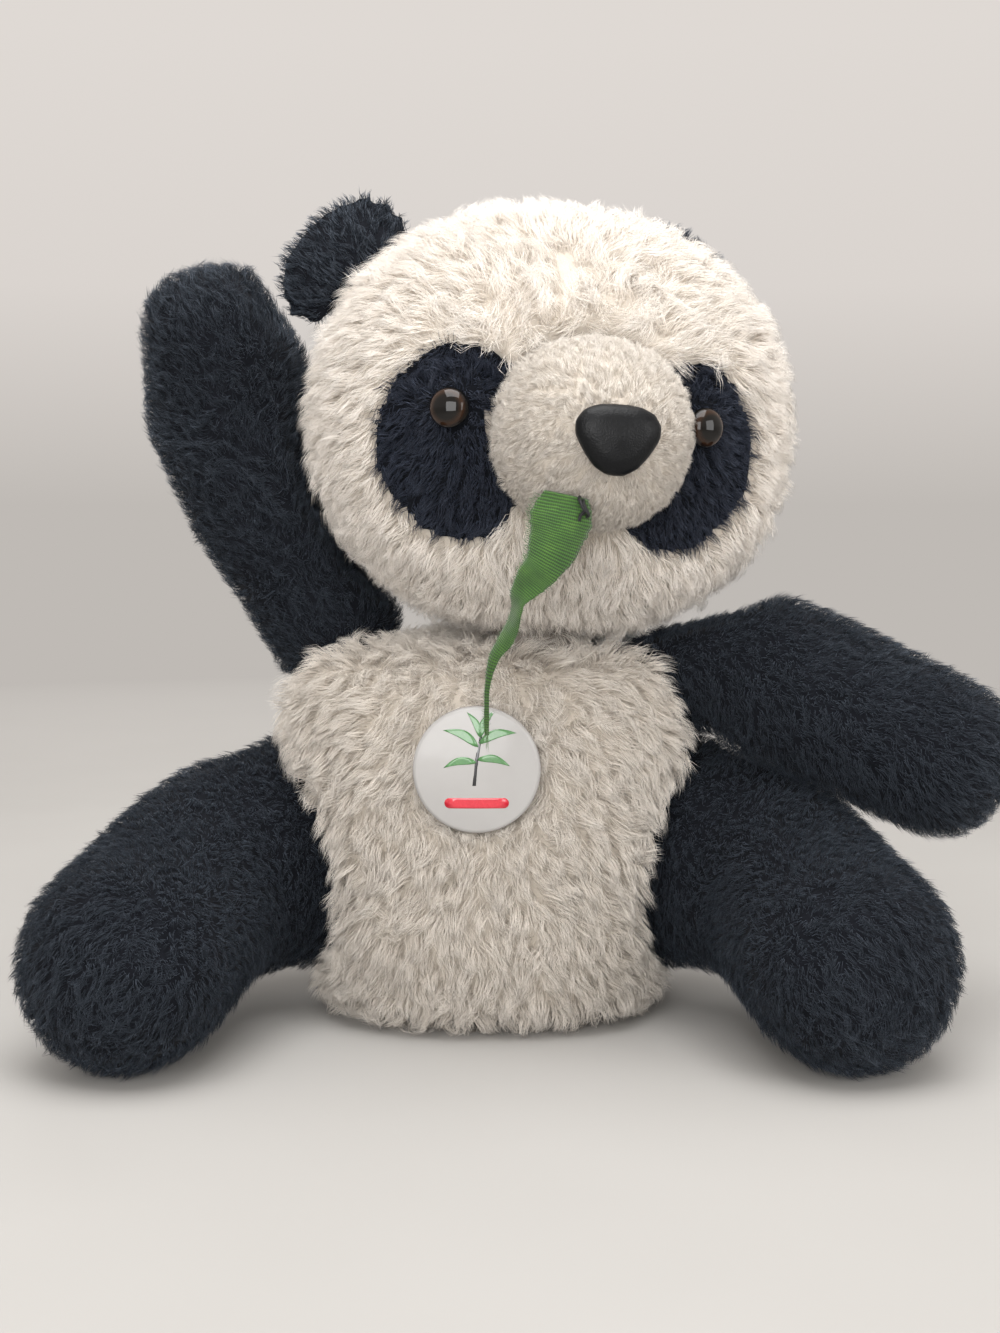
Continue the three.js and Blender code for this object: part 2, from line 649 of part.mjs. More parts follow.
function eyeBody(extra) {
  const dome = [[0, EYE.dome + extra]];
  for (const s of [0.45, 0.8, 1]) {
    dome.push([(EYE.radius + extra) * s, (EYE.dome + extra) * Math.sqrt(1 - s * s)]);
  }
  dome.push([EYE.radius + extra, -0.8 - extra], [0, -0.8 - extra]);
  return turned(dome.reverse(), 18).add(ribbedPost(EYE.post + extra, EYE.postLength + extra));
}

// A rounded triangle, wide at the top, as the nose's outline at an angle.
function noseOutline(angle) {
  const point = 1 + 0.1 * Math.cos(3 * (angle + Math.PI / 2));
  return [NOSE.halfWidth * point * Math.cos(angle), NOSE.halfHeight * point * Math.sin(angle)];
}
function noseBody(extra) {
  const layers = [[-1 - extra, 0.86], [2, 0.99], [5, 1], [7.5, 0.88], [9.6, 0.64]];
  const rings = layers.map(([out, share]) =>
    Array.from({ length: 18 }, (_, k) => {
      const [u, v] = noseOutline((2 * Math.PI * k) / 18);
      const grow = share + extra / NOSE.halfWidth;
      return new THREE.Vector3(u * grow, v * grow, out);
    }),
  );
  const front = loft(rings, new THREE.Vector3(0, 0, -1 - extra), new THREE.Vector3(0, 0, NOSE.depth));
  return front.add(ribbedPost(NOSE.post + extra, NOSE.postLength + extra));
}

const faceWards = [0, -1, 0];
const uprightOn = (body, point, direction) => {
  const z = vector(direction).normalize();
  const x = new THREE.Vector3(0, 0, 1).cross(z).normalize();
  const y = new THREE.Vector3().crossVectors(z, x);
  const place = new THREE.Matrix4().makeBasis(x, y, z).setPosition(...point);
  return body.transform(place.elements);
};

const trimHoles = [uprightOn(noseBody(GAP), noseSpot.toArray(), faceWards)];
const noseWasherSpot = [0, noseSpot.y + SHORT_PILE + 5, NOSE.z];
const washerRoom = (radius, spot, direction) => {
  const [out, top] = [radius + GAP, WASHER_THICK + GAP];
  return aimed(turned([[0, -GAP], [out, -GAP], [out, top], [0, top]], 16), spot, direction);
};
const washerRooms = [washerRoom(NOSE.washer, noseWasherSpot, faceWards)];
for (const [name, side] of sides) {
  const { spot, normal } = eyeSpots[name];
  trimHoles.push(uprightOn(eyeBody(GAP), spot.toArray(), normal.toArray()));
  const inside = spot.clone().addScaledVector(normal, -washerDepth).toArray();
  washerRooms.push(washerRoom(EYE.washer, inside, normal.toArray()));
  headCentre.add(
    meshOf(`eye_${name}`, uprightOn(eyeBody(0), spot.toArray(), normal.toArray()), GLOSS_BLACK),
    meshOf(`eye_${name}_washer`,
      aimed(washer(EYE.washer, EYE.post + GAP), inside, normal.toArray()), WASHER_WHITE),
    meshOf(`eye_patch_${name}`,
      headShell.intersect(patchPrism(side, 0)).subtract(muzzleInHead)
        .subtract(trimHoles[trimHoles.length - 1]), BLACK_FUR),
  );
}
const trim = wasm.Manifold.union(trimHoles);
const rooms = wasm.Manifold.union(washerRooms);

const faceCut = wasm.Manifold.union([patchPrism(-1, GAP), patchPrism(1, GAP), muzzleInHead, trim]);
const headSeam = beyond([0, HEAD.seamY, 0], [0, 1, 0]);
const headFrontSide = beyond([0, HEAD.seamY - GAP, 0], [0, -1, 0]);
const headInside = headBody(LONG_PILE + GAP);
const muzzleShell = muzzleBody(0).subtract(muzzleBody(SHORT_PILE))
  .subtract(headBody(LONG_PILE)).subtract(trim);

const stitchRise = Math.abs((STITCH.z - MUZZLE.z) / MUZZLE.halfHeight) ** MUZZLE.squareness;
const mouthFront = MUZZLE.y - MUZZLE.halfDepth * (1 - stitchRise) ** (1 / MUZZLE.squareness);

// Two loops of thread that hold the leaf to the mouth, with a loose end.
function mouthStitch() {
  const points = [];
  for (let k = 0; k <= 12; k++) {
    const angle = (2 * Math.PI * k) / 6;
    const y = mouthFront - 6 + 1.6 * Math.cos(angle);
    points.push([STITCH.x + k * 0.35, y, STITCH.z + 5 * Math.sin(angle)]);
  }
  points.push([STITCH.x + 3, mouthFront - 8.5, STITCH.z - 9]);
  return bar(points, STITCH.wire, 5, 30);
}

headCentre.add(
  meshOf("head_front_panel", holdNeck(headShell.intersect(headFrontSide).subtract(faceCut)), WHITE_FUR),
  meshOf("head_back_panel", holdNeck(headShell.intersect(headSeam)), WHITE_FUR),
  meshOf("muzzle_skin", muzzleShell, WHITE_PLUSH),
  meshOf("head_stuffing",
    holdNeck(headInside.add(muzzleBody(SHORT_PILE + GAP))).subtract(trim).subtract(rooms), FILLING),
  meshOf("nose", uprightOn(noseBody(0), noseSpot.toArray(), faceWards), NOSE_BLACK),
  meshOf("nose_washer",
    aimed(washer(NOSE.washer, NOSE.post + GAP), noseWasherSpot, faceWards), WASHER_WHITE),
  meshOf("mouth_stitch", mouthStitch(), THREAD_BLACK),
);

// ---------------------------------------------------------------- ears

// A round flap on a flat base, standing on the head: X along the base, Z away from the head, -Y forward.
function earBody(inset) {
  const half = EAR.height / 2;
  const halfHeight = half + 4 - inset;
  const flap = ball(EAR.halfWidth - inset, EAR.halfThick - inset, halfHeight, 2.3, [0, 0, half - 4], 12, 8);
  return flap.subtract(beyond([0, 0, EAR.gap + inset], [0, 0, -1]));
}
const earShell = earBody(0)
  .subtract(earBody(EAR.skin))
  .subtract(solid(new THREE.BoxGeometry(2 * EAR.halfWidth - 20, 6, 20)));
const earPieces = {
  front_panel: [earShell.intersect(beyond([0, -GAP / 2, 0], [0, -1, 0])), BLACK_FUR],
  back_panel: [earShell.intersect(beyond([0, GAP / 2, 0], [0, 1, 0])), BLACK_FUR],
  stuffing: [earBody(EAR.skin + GAP), FILLING],
};
const earPlaces = sides.map(([name, side]) => {
  const spot = faceSpot(EAR_SPOTS[name].turn * side, EAR_SPOTS[name].z, 0);
  const normal = faceNormal(spot);
  const backwards = new THREE.Vector3(0, 1, 0).addScaledVector(normal, -normal.y).normalize();
  const along = new THREE.Vector3().crossVectors(backwards, normal);
  return new THREE.Matrix4().makeBasis(along, backwards, normal).setPosition(spot);
});
sides.forEach(([name], i) => {
  for (const [piece, [body, look]] of Object.entries(earPieces)) {
    headCentre.add(meshOf(`ear_${name}_${piece}`, body.transform(earPlaces[i].elements), look));
  }
});

// ---------------------------------------------------------------- arms beside the head and legs

headGroup.updateMatrixWorld(true);

const onHead = (body) => body.transform(headCentre.matrixWorld.elements);

// The room that a solid on the head takes up while the head turns and nods.
function headSwing(body) {
  const nodAxis = [Math.cos(radians(HEAD.turn)), Math.sin(radians(HEAD.turn)), 0];
  const nodded = swung(onHead(body), neckPivot, nodAxis, spread(SWING.nod, 3));
  return wrapped(nodded.flatMap((copy) => swung(copy, neckPivot, [0, 0, 1], spread(SWING.turn, 5))));
}
const headRoom = (extra) => headSwing(headBody(-extra, 16, 10));
// The right ear flexes about its base, just beside the raised hand.
function earRoom(extra) {
  const flexed = swung(earBody(-extra), [0, 0, 0], [1, 0, 0], spread(SWING.ear, 3));
  return headSwing(wrapped(flexed).transform(earPlaces[0].elements));
}
// Rooms as an arm meets them while it swings, seen from the arm.
function metBy({ pivot, turnsAbout, swing }, rooms) {
  const back = spread(swing, 3).map((angle) => -angle);
  return wasm.Manifold.union(rooms.flatMap((room) => swung(room, pivot, turnsAbout, back)));
}
const besideRight = (inset) =>
  metBy(ARM_RIGHT, [headRoom(2 * JOINT_GAP + inset), mirrored(legRoom(2 * JOINT_GAP + inset))])
    .add(earRoom(JOINT_GAP + inset));
const besideLeft = (inset) =>
  metBy(ARM_LEFT, [headRoom(2 * JOINT_GAP + inset), legRoom(2 * JOINT_GAP + inset)]);
addArm("right", ARM_RIGHT, besideRight);
addArm("left", ARM_LEFT, besideLeft);

// ---------------------------------------------------------------- leaf

// A strip of woven cloth, wide at the mouth, that twists and thins to a thread over the badge.
function leafBody() {
  const stitch = new THREE.Vector3(STITCH.x, mouthFront - 6, STITCH.z).applyMatrix4(headCentre.matrixWorld);
  const top = stitch.add(vector(LEAF.from));
  const middle = new THREE.CatmullRomCurve3(LEAF_STATIONS.map((station) => vector(station).add(top)));
  const halves = LEAF_STATIONS.map((station) => station[3]);
  const twists = LEAF_STATIONS.map((station) => station[4]);
  const rings = Array.from({ length: LEAF.rings }, (_, i) => {
    const share = i / (LEAF.rings - 1);
    const centre = middle.getPoint(share);
    const along = middle.getTangent(share);
    const across = new THREE.Vector3(1, 0, 0).addScaledVector(along, -along.x).normalize();
    across.applyAxisAngle(along, radians(valueAt(twists, share)));
    const out = new THREE.Vector3().crossVectors(along, across);
    const half = valueAt(halves, share);
    return [[-1, -1], [1, -1], [1, 1], [-1, 1]].map(([a, b]) =>
      centre.clone().addScaledVector(across, a * half).addScaledVector(out, (b * LEAF.thick) / 2),
    );
  });
  const middleOf = (ring) => {
    return ring.reduce((sum, p) => sum.add(p), new THREE.Vector3()).divideScalar(ring.length);
  };
  return loft(rings, middleOf(rings[0]), middleOf(rings[rings.length - 1]));
}
torsoGroup.add(meshOf("leaf", leafBody(), LEAF_GREEN));

export default panda;
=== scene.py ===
import math

import bmesh
import bpy
import numpy as np
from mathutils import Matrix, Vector
from mathutils.bvhtree import BVHTree
from mathutils.kdtree import KDTree
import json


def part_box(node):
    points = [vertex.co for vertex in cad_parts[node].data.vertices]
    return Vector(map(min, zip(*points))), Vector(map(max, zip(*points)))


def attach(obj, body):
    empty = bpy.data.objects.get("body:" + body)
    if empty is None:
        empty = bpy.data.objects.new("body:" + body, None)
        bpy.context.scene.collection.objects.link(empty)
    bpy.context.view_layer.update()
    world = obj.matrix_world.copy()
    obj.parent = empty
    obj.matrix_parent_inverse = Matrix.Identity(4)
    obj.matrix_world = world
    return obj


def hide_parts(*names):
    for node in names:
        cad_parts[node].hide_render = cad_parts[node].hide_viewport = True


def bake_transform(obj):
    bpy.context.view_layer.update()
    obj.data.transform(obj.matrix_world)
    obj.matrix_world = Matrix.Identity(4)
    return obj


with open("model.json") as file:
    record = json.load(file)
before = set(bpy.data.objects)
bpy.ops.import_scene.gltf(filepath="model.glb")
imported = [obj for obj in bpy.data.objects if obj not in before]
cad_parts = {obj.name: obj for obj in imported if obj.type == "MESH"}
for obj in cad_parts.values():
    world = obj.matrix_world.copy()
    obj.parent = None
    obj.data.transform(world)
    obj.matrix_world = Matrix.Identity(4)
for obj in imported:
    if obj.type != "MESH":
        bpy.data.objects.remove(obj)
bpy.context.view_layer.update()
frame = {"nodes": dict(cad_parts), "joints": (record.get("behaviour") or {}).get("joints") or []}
PIVOT = {j["name"]: np.array(j["pos_m"]) for j in frame["joints"]}
SCENE = bpy.context.scene
MM = 0.001

# ---------------------------------------------------------------- camera

cam = bpy.data.objects.new("camera", bpy.data.cameras.new("camera"))
SCENE.collection.objects.link(cam)
SCENE.camera = cam
cam.location = (0.005, -0.870, 0.250)
cam.rotation_euler = (math.radians(90 - 5.3), 0, 0)
cam.data.sensor_width = 36
cam.data.lens = 46.96
cam.data.clip_start = 0.02

# ---------------------------------------------------------------- small maths


def unit(v):
    return v / np.maximum(np.linalg.norm(v, axis=-1, keepdims=True), 1e-12)


def across(v, n):
    """The part of v that lies in the surface with normal n, at unit length."""
    return unit(v - n * (v * n).sum(-1, keepdims=True))


def swell(size, seed, waves=7):
    """A smooth random vector field whose bumps are about size across."""
    r = np.random.default_rng(seed)
    k = unit(r.normal(size=(3, waves, 3))) * 2 * math.pi / size * r.uniform(0.6, 1.5, (3, waves, 1))
    phase = r.uniform(0, 2 * math.pi, (3, waves))

    def field(p):
        parts = [np.sin(p @ k[i].T + phase[i]).sum(-1) for i in range(3)]
        return np.stack(parts, -1) / math.sqrt(waves)

    return field


def between(a, b, t):
    t = np.clip((t - a) / (b - a), 0, 1)
    return t * t * (3 - 2 * t)


# ---------------------------------------------------------------- mesh helpers


def link(name, me):
    ob = bpy.data.objects.new(name, me)
    SCENE.collection.objects.link(ob)
    return ob


def made(name, verts, faces, mat=None, uv=None, smooth=True):
    """A mesh object from points and faces; uv is one pair for each point."""
    me = bpy.data.meshes.new(name)
    me.from_pydata([tuple(map(float, v)) for v in verts], [], [tuple(map(int, f)) for f in faces])
    me.polygons.foreach_set("use_smooth", [smooth] * len(me.polygons))
    if uv is not None:
        loops = np.zeros(len(me.loops), int)
        me.loops.foreach_get("vertex_index", loops)
        me.uv_layers.new(name="OFBake").data.foreach_set("uv", np.asarray(uv, float)[loops].ravel())
    if mat:
        me.materials.append(mat)
    me.update()
    return link(name, me)


def points(me):
    co = np.zeros(len(me.vertices) * 3)
    me.vertices.foreach_get("co", co)
    return co.reshape(-1, 3)


def triangles(me):
    me.calc_loop_triangles()
    t = np.zeros(len(me.loop_triangles) * 3, int)
    me.loop_triangles.foreach_get("vertices", t)
    return t.reshape(-1, 3)


def normals(co, tris):
    n = np.zeros_like(co)
    f = np.cross(co[tris[:, 1]] - co[tris[:, 0]], co[tris[:, 2]] - co[tris[:, 0]])
    for i in range(3):
        np.add.at(n, tris[:, i], f)
    return unit(n)


def smoothed(co, edges, share, rounds, held=None):
    for _ in range(rounds):
        total, count = np.zeros_like(co), np.zeros(len(co))
        for a, b in ((0, 1), (1, 0)):
            np.add.at(total, edges[:, a], co[edges[:, b]])
            np.add.at(count, edges[:, a], 1)
        move = (total / count[:, None] - co) * share
        if held is not None:
            move *= 1 - held[:, None]
        co = co + move
    return co


def evaluated(ob):
    """The object's mesh with its modifiers applied."""
    return bpy.data.meshes.new_from_object(ob.evaluated_get(bpy.context.evaluated_depsgraph_get()))


def reshape(me, co):
    me.vertices.foreach_set("co", co.ravel())
    me.update()


def edge_pairs(me):
    e = np.zeros(len(me.edges) * 2, int)
    me.edges.foreach_get("vertices", e)
    return e.reshape(-1, 2)


def shade_smooth(me):
    me.polygons.foreach_set("use_smooth", [True] * len(me.polygons))


def dress(me, mat):
    """Makes mat the mesh's only material."""
    me.materials.clear()
    me.materials.append(mat)


def thickened(ob, thick, offset):
    mod = ob.modifiers.new("solid", "SOLIDIFY")
    mod.thickness, mod.offset = thick, offset
    me = evaluated(ob)
    ob.modifiers.clear()
    ob.data = me
    return ob


def remeshed(me, voxel):
    """The outside of a mesh as one even mesh of small faces."""
    ob = link("rough", me)
    mod = ob.modifiers.new("remesh", "REMESH")
    mod.mode, mod.voxel_size = "VOXEL", voxel
    out = evaluated(ob)
    bpy.data.objects.remove(ob)
    return out


def joined(name, nodes, voxel, more=()):
    """The outside of several CAD solids, and of more meshes, as one closed mesh."""
    verts, faces, base = [], [], 0
    for me in [frame["nodes"][n].data for n in nodes] + list(more):
        verts.append(points(me))
        faces += [[i + base for i in p.vertices] for p in me.polygons]
        base += len(me.vertices)
    rough = bpy.data.meshes.new(name + "_rough")
    rough.from_pydata([tuple(map(float, v)) for v in np.vstack(verts)], [], faces)
    rough.polygons.foreach_set("use_smooth", [True] * len(faces))
    me = remeshed(rough, voxel)
    me.name = name
    return me


def tree(me):
    return BVHTree.FromPolygons([tuple(v) for v in points(me)], [tuple(t) for t in triangles(me)])


def depth_in(bvh, p):
    """How far each point is inside the closed mesh; negative outside."""
    out = np.empty(len(p))
    for i, q in enumerate(p):
        at, n, _, d = bvh.find_nearest(Vector(q))
        out[i] = d if (Vector(q) - at).dot(n) < 0 else -d
    return out


def hull(name, co):
    """The convex hull of some points as a mesh."""
    bm = bmesh.new()
    for v in co:
        bm.verts.new(v)
    result = bmesh.ops.convex_hull(bm, input=bm.verts)
    inside = [v for v in result["geom_interior"] if isinstance(v, bmesh.types.BMVert)]
    bmesh.ops.delete(bm, geom=inside)
    me = bpy.data.meshes.new(name)
    bm.to_mesh(me)
    bm.free()
    return me


def skin(name, me, depth, bvh, rounds=6, relax=3, checks=5):
    """The cloth under the pile: the closed mesh moved in by the pile's height."""
    edges, tris, co = edge_pairs(me), triangles(me), points(me)
    for _ in range(rounds):
        co = co - normals(co, tris) * depth / rounds
        co = smoothed(co, edges, 0.5, 1)
    co = smoothed(co, edges, 0.5, relax)
    for _ in range(checks):
        gap = depth_in(bvh, co)
        co = co + normals(co, tris) * np.clip(gap - depth, -0.003, 0.003)[:, None]
        co = smoothed(co, edges, 0.4, 1)
    reshape(me, co)
    return link(name, me)


def puffed(skins, pressure=4.0, frames=16, cap=0.0025):
    """Fills the skins with air as cloth, seams held, and keeps the result on their meshes."""
    before = {}
    for ob, seam in skins:
        before[ob] = points(ob.data)
        g = ob.vertex_groups.new(name="seam")
        g.add([int(i) for i in np.flatnonzero(seam(before[ob]))], 1.0, "REPLACE")
        m = ob.modifiers.new("cloth", "CLOTH")
        s = m.settings
        s.quality, s.mass = 4, 0.3
        s.use_pressure, s.uniform_pressure_force = True, pressure
        s.effector_weights.gravity = 0
        s.vertex_group_mass = "seam"
        m.point_cache.frame_start, m.point_cache.frame_end = 1, frames
    for f in range(1, frames + 1):
        SCENE.frame_set(f)
    dg = bpy.context.evaluated_depsgraph_get()
    for ob, _ in skins:
        after = points(ob.evaluated_get(dg).data)
        move = after - before[ob]
        size = np.linalg.norm(move, axis=1, keepdims=True)
        move *= np.minimum(1, cap / np.maximum(size, 1e-9))
        ob.modifiers.clear()
        ob.vertex_groups.clear()
        reshape(ob.data, before[ob] + move)
    SCENE.frame_set(1)


def subdivided(ob, levels=1):
    m = ob.modifiers.new("sub", "SUBSURF")
    m.levels = m.render_levels = levels
    me = evaluated(ob)
    ob.modifiers.clear()
    ob.data = me
    shade_smooth(me)


# ---------------------------------------------------------------- materials


class Mat:
    def __init__(self, name, colour, **plain):
        self.m = bpy.data.materials.new(name)
        self.m.use_nodes = True
        self.t = self.m.node_tree
        self.b = self.t.nodes["Principled BSDF"]
        self.b.inputs["Base Color"].default_value = (*colour, 1)
        for k, v in plain.items():
            self.b.inputs[k.replace("_", " ")].default_value = v

    def node(self, kind, out=0, props=None, **inputs):
        n = self.t.nodes.new("ShaderNode" + kind)
        for k, v in (props or {}).items():
            setattr(n, k, v)
        for k, v in inputs.items():
            k = int(k[1:]) if k[0] == "i" and k[1:].isdigit() else k.replace("_", " ")
            if isinstance(v, bpy.types.NodeSocket):
                self.t.links.new(v, n.inputs[k])
            else:
                n.inputs[k].default_value = v
        return n.outputs[out]

    def ramp(self, fac, *stops):
        n = self.t.nodes.new("ShaderNodeValToRGB")
        e = n.color_ramp.elements
        while len(e) < len(stops):
            e.new(0.5)
        for el, (at, c) in zip(e, stops):
            el.position, el.color = at, (*c, 1)
        self.t.links.new(fac, n.inputs[0])
        return n.outputs[0]

    def mix(self, fac, a, b, how="MIX"):
        n = self.t.nodes.new("ShaderNodeMix")
        n.data_type, n.blend_type = "RGBA", how
        for k, v in ((0, fac), (6, a), (7, b)):
            if isinstance(v, bpy.types.NodeSocket):
                self.t.links.new(v, n.inputs[k])
            else:
                n.inputs[k].default_value = v if k == 0 else (*v, 1)
        return n.outputs[2]

    def to(self, socket, value):
        self.t.links.new(value, self.b.inputs[socket])

    def bump(self, height, distance, strength=1.0):
        n = self.node("Bump", Height=height, Distance=distance, Strength=strength)
        self.to("Normal", n)

    def where(self, kind="Object"):
        n = self.t.nodes.new("ShaderNodeTexCoord")
        return n.outputs[kind]

    def uv(self):
        n = self.t.nodes.new("ShaderNodeUVMap")
        n.uv_map = "OFBake"
        return self.node("SeparateXYZ", Vector=n.outputs[0]).node

    def noise(self, scale, detail=4.0, rough=0.6, at=None):
        at = at or self.where()
        return self.node("TexNoise", Vector=at, Scale=scale, Detail=detail, Roughness=rough)


def fur_material(name, root, mid, tip, low, high, rough=0.75, sheen=0.3, tint=(1, 1, 1)):
    """A pile: colour runs from root to tip along V and from strand to strand along U. The darker roots are
    painted shade deep in the pile.
    """
    m = Mat(name, mid, Roughness=rough, Sheen_Weight=sheen, Sheen_Roughness=0.5)
    m.b.inputs["Sheen Tint"].default_value = (*tint, 1)
    m.b.inputs["Specular IOR Level"].default_value = 0.25
    s = m.uv()
    # painted shade: each strand darkens towards its root, where the pile shades itself
    along = m.ramp(s.outputs[1], (0.0, root), (0.45, mid), (0.95, tip))
    tone = m.ramp(s.outputs[0], (0.0, low), (0.5, (1, 1, 1)), (1.0, high))
    m.to("Base Color", m.mix(1.0, along, tone, "MULTIPLY"))
    return m.m


def cloth_material(name, dark, light, scale=900.0, sheen=0.3):
    """The knitted backing under the pile, in the colours given; where these are darker than the pile they are
    painted shade.
    """
    m = Mat(name, light, Roughness=0.9, Sheen_Weight=sheen)
    m.b.inputs["Specular IOR Level"].default_value = 0.1
    cloud = m.noise(70.0, 3.0)
    knit = m.noise(scale, 2.0)
    both = m.mix(0.5, cloud, knit)
    m.to("Base Color", m.ramp(both, (0.3, dark), (0.7, light)))
    m.bump(knit, 0.0004, 0.6)
    return m.m


WHITE_HEAD = fur_material(
    "white_long_pile_head", (0.82, 0.745, 0.66), (0.90, 0.84, 0.77), (0.95, 0.91, 0.86),
    (0.93, 0.91, 0.88), (1.02, 1.02, 1.02), tint=(1, 0.95, 0.89),
)
# painted shade: the torso's pile is a darker copy of the head's white pile
WHITE_BODY_SHADED = fur_material(
    "white_long_pile_torso_shaded", (0.61, 0.55, 0.475), (0.72, 0.66, 0.59), (0.82, 0.775, 0.715),
    (0.90, 0.88, 0.85), (1.04, 1.04, 1.04), tint=(1, 0.95, 0.89),
)
WHITE_SHORT = fur_material(
    "white_short_pile", (0.56, 0.50, 0.43), (0.68, 0.625, 0.56), (0.755, 0.71, 0.65),
    (0.92, 0.90, 0.87), (1.03, 1.03, 1.03), tint=(1, 0.95, 0.89),
)
# painted sheen: the lighter tips and the lighter, warmer high end of the strand range stand for light caught
# by the black nap
BLACK = fur_material(
    "black_short_pile", (0.0015, 0.0024, 0.0045), (0.0045, 0.007, 0.0115), (0.0125, 0.0172, 0.0245),
    (0.6, 0.66, 0.78), (2.2, 2.0, 1.8), rough=0.65, sheen=0.21, tint=(0.6, 0.72, 0.9),
)
# painted sheen, as on the black pile: lighter tips and a lighter, warmer high end of the strand range
BLACK_FACE = fur_material(
    "black_patch_pile", (0.002, 0.003, 0.006), (0.007, 0.009, 0.016), (0.018, 0.022, 0.034),
    (0.6, 0.65, 0.8), (1.7, 1.6, 1.5), rough=0.6, sheen=0.2, tint=(0.5, 0.6, 0.85),
)
# painted shade: the white backing is far darker than the white pile, so the gaps between strands read as
# shaded fur
CLOTH_WHITE_SHADED = cloth_material("white_backing_shaded", (0.42, 0.375, 0.32), (0.54, 0.485, 0.42))
# painted shade: a darker copy of the white backing, for the neck between head and torso
NECK_SHADE_CLOTH = cloth_material("neck_backing_painted_shade", (0.24, 0.21, 0.18), (0.36, 0.32, 0.28))
CLOTH_BLACK = cloth_material("black_backing", (0.003, 0.004, 0.006), (0.009, 0.010, 0.014), sheen=0.03)


def fibre_material():
    m = Mat("polyester_fibre", (0.8, 0.8, 0.78), Roughness=0.85, Sheen_Weight=0.5)
    n = m.noise(220.0, 6.0, 0.8)
    m.to("Base Color", m.ramp(n, (0.3, (0.62, 0.62, 0.6)), (0.7, (0.86, 0.86, 0.85))))
    m.bump(n, 0.002, 0.8)
    return m.m


FIBRE = fibre_material()


def moulded(name, dark, light, rough, grain=1200.0, **plain):
    """A moulded plastic with a faint grain."""
    m = Mat(name, light, **plain)
    n = m.noise(grain, 3.0)
    m.to("Base Color", m.ramp(m.noise(60.0, 2.0), (0.35, dark), (0.65, light)))
    m.to("Roughness", m.ramp(n, (0.3, (rough * 0.8,) * 3), (0.7, (rough * 1.2,) * 3)))
    m.bump(n, 0.0001, 0.4)
    return m.m


def nose_material():
    m = Mat("nose_leather_grain", (0.01, 0.01, 0.011))
    m.b.inputs["Specular IOR Level"].default_value = 0.2
    cells = m.node("TexVoronoi", Vector=m.where(), Scale=1300.0)
    fine = m.noise(2600.0, 3.0)
    both = m.mix(0.4, cells, fine)
    m.to("Base Color", m.ramp(both, (0.2, (0.001, 0.0012, 0.0016)), (0.9, (0.004, 0.0045, 0.0055))))
    m.to("Roughness", m.ramp(fine, (0.3, (0.30,) * 3), (0.7, (0.42,) * 3)))
    m.bump(both, 0.00022, 0.7)
    return m.m


def eye_material():
    """A dark pupil with an amber-brown ring under a clear dome, on one glossy surface."""
    m = Mat("eye_gloss", (0.01, 0.006, 0.004), Roughness=0.05)
    m.b.inputs["Specular IOR Level"].default_value = 0.35
    s = m.uv()
    ring = m.ramp(
        s.outputs[0], (0.0, (0.002, 0.002, 0.002)), (0.58, (0.003, 0.0025, 0.002)),
        (0.66, (0.009, 0.005, 0.003)), (0.80, (0.021, 0.010, 0.005)), (0.88, (0.009, 0.005, 0.004)),
        (0.94, (0.003, 0.003, 0.003)),
    )
    rays = m.node("TexNoise", Vector=m.node("CombineXYZ", i0=s.outputs[1]), Scale=90.0, Detail=2.0)
    m.to("Base Color", m.mix(rays, ring, m.mix(1.0, ring, (1.7, 1.5, 1.3), "MULTIPLY")))
    return m.m


def thread_material(name, dark, light, sheen=0.3):
    m = Mat(name, light, Roughness=0.5, Sheen_Weight=sheen)
    s = m.uv()
    twist = m.node(
        "TexWave", Vector=m.node("CombineXYZ", i0=s.outputs[0], i1=s.outputs[1]),
        Scale=6.0, Distortion=0.6, props={"bands_direction": "DIAGONAL"},
    )
    m.to("Base Color", m.ramp(twist, (0.1, dark), (0.8, light)))
    m.bump(twist, 0.0001, 0.6)
    return m.m


def leaf_material():
    """A plain woven green cloth: warp and weft by UV, in millimetres across and along."""
    m = Mat("green_weave", (0.06, 0.22, 0.03), Roughness=0.75, Sheen_Weight=0.25)
    s = m.uv()
    at = m.node("CombineXYZ", i0=s.outputs[0], i1=s.outputs[1])
    warp = m.node("TexWave", Vector=at, Scale=9.0, Distortion=1.4, Detail=2.0,
                  props={"bands_direction": "X"})
    weft = m.node("TexWave", Vector=at, Scale=6.0, Distortion=1.4, Detail=2.0,
                  props={"bands_direction": "Y"})
    weave = m.mix(0.65, warp, weft)
    cloud = m.node("TexNoise", Vector=at, Scale=3.2, Detail=4.0)
    tone = m.ramp(cloud, (0.3, (0.022, 0.078, 0.006)), (0.55, (0.034, 0.105, 0.009)),
                  (0.8, (0.062, 0.150, 0.016)))
    m.to("Base Color", m.mix(1.0, tone, m.ramp(weave, (0.25, (0.42,) * 3), (0.75, (1.35,) * 3)), "MULTIPLY"))
    m.bump(weave, 0.0003, 1.0)
    return m.m


def ink(name, dark, light):
    m = Mat(name, light, Roughness=0.2, Coat_Weight=0.8, Coat_Roughness=0.05)
    m.to("Base Color", m.ramp(m.noise(900.0, 2.0), (0.3, dark), (0.7, light)))
    return m.m


def badge_material():
    m = Mat("badge_gloss", (0.5, 0.48, 0.46), Coat_Weight=0.15, Coat_Roughness=0.08)
    m.b.inputs["Specular IOR Level"].default_value = 0.2
    m.to("Base Color", m.ramp(m.noise(30.0, 3.0), (0.3, (0.34, 0.33, 0.32)), (0.7, (0.37, 0.36, 0.35))))
    m.to("Roughness", m.ramp(m.noise(300.0, 2.0), (0.3, (0.12,) * 3), (0.7, (0.2,) * 3)))
    return m.m


def metal(name, dark, light, rough):
    m = Mat(name, light, Metallic=1.0)
    n = m.noise(400.0, 4.0)
    m.to("Base Color", m.ramp(n, (0.3, dark), (0.7, light)))
    m.to("Roughness", m.ramp(n, (0.3, (rough,) * 3), (0.7, (rough * 1.5,) * 3)))
    return m.m


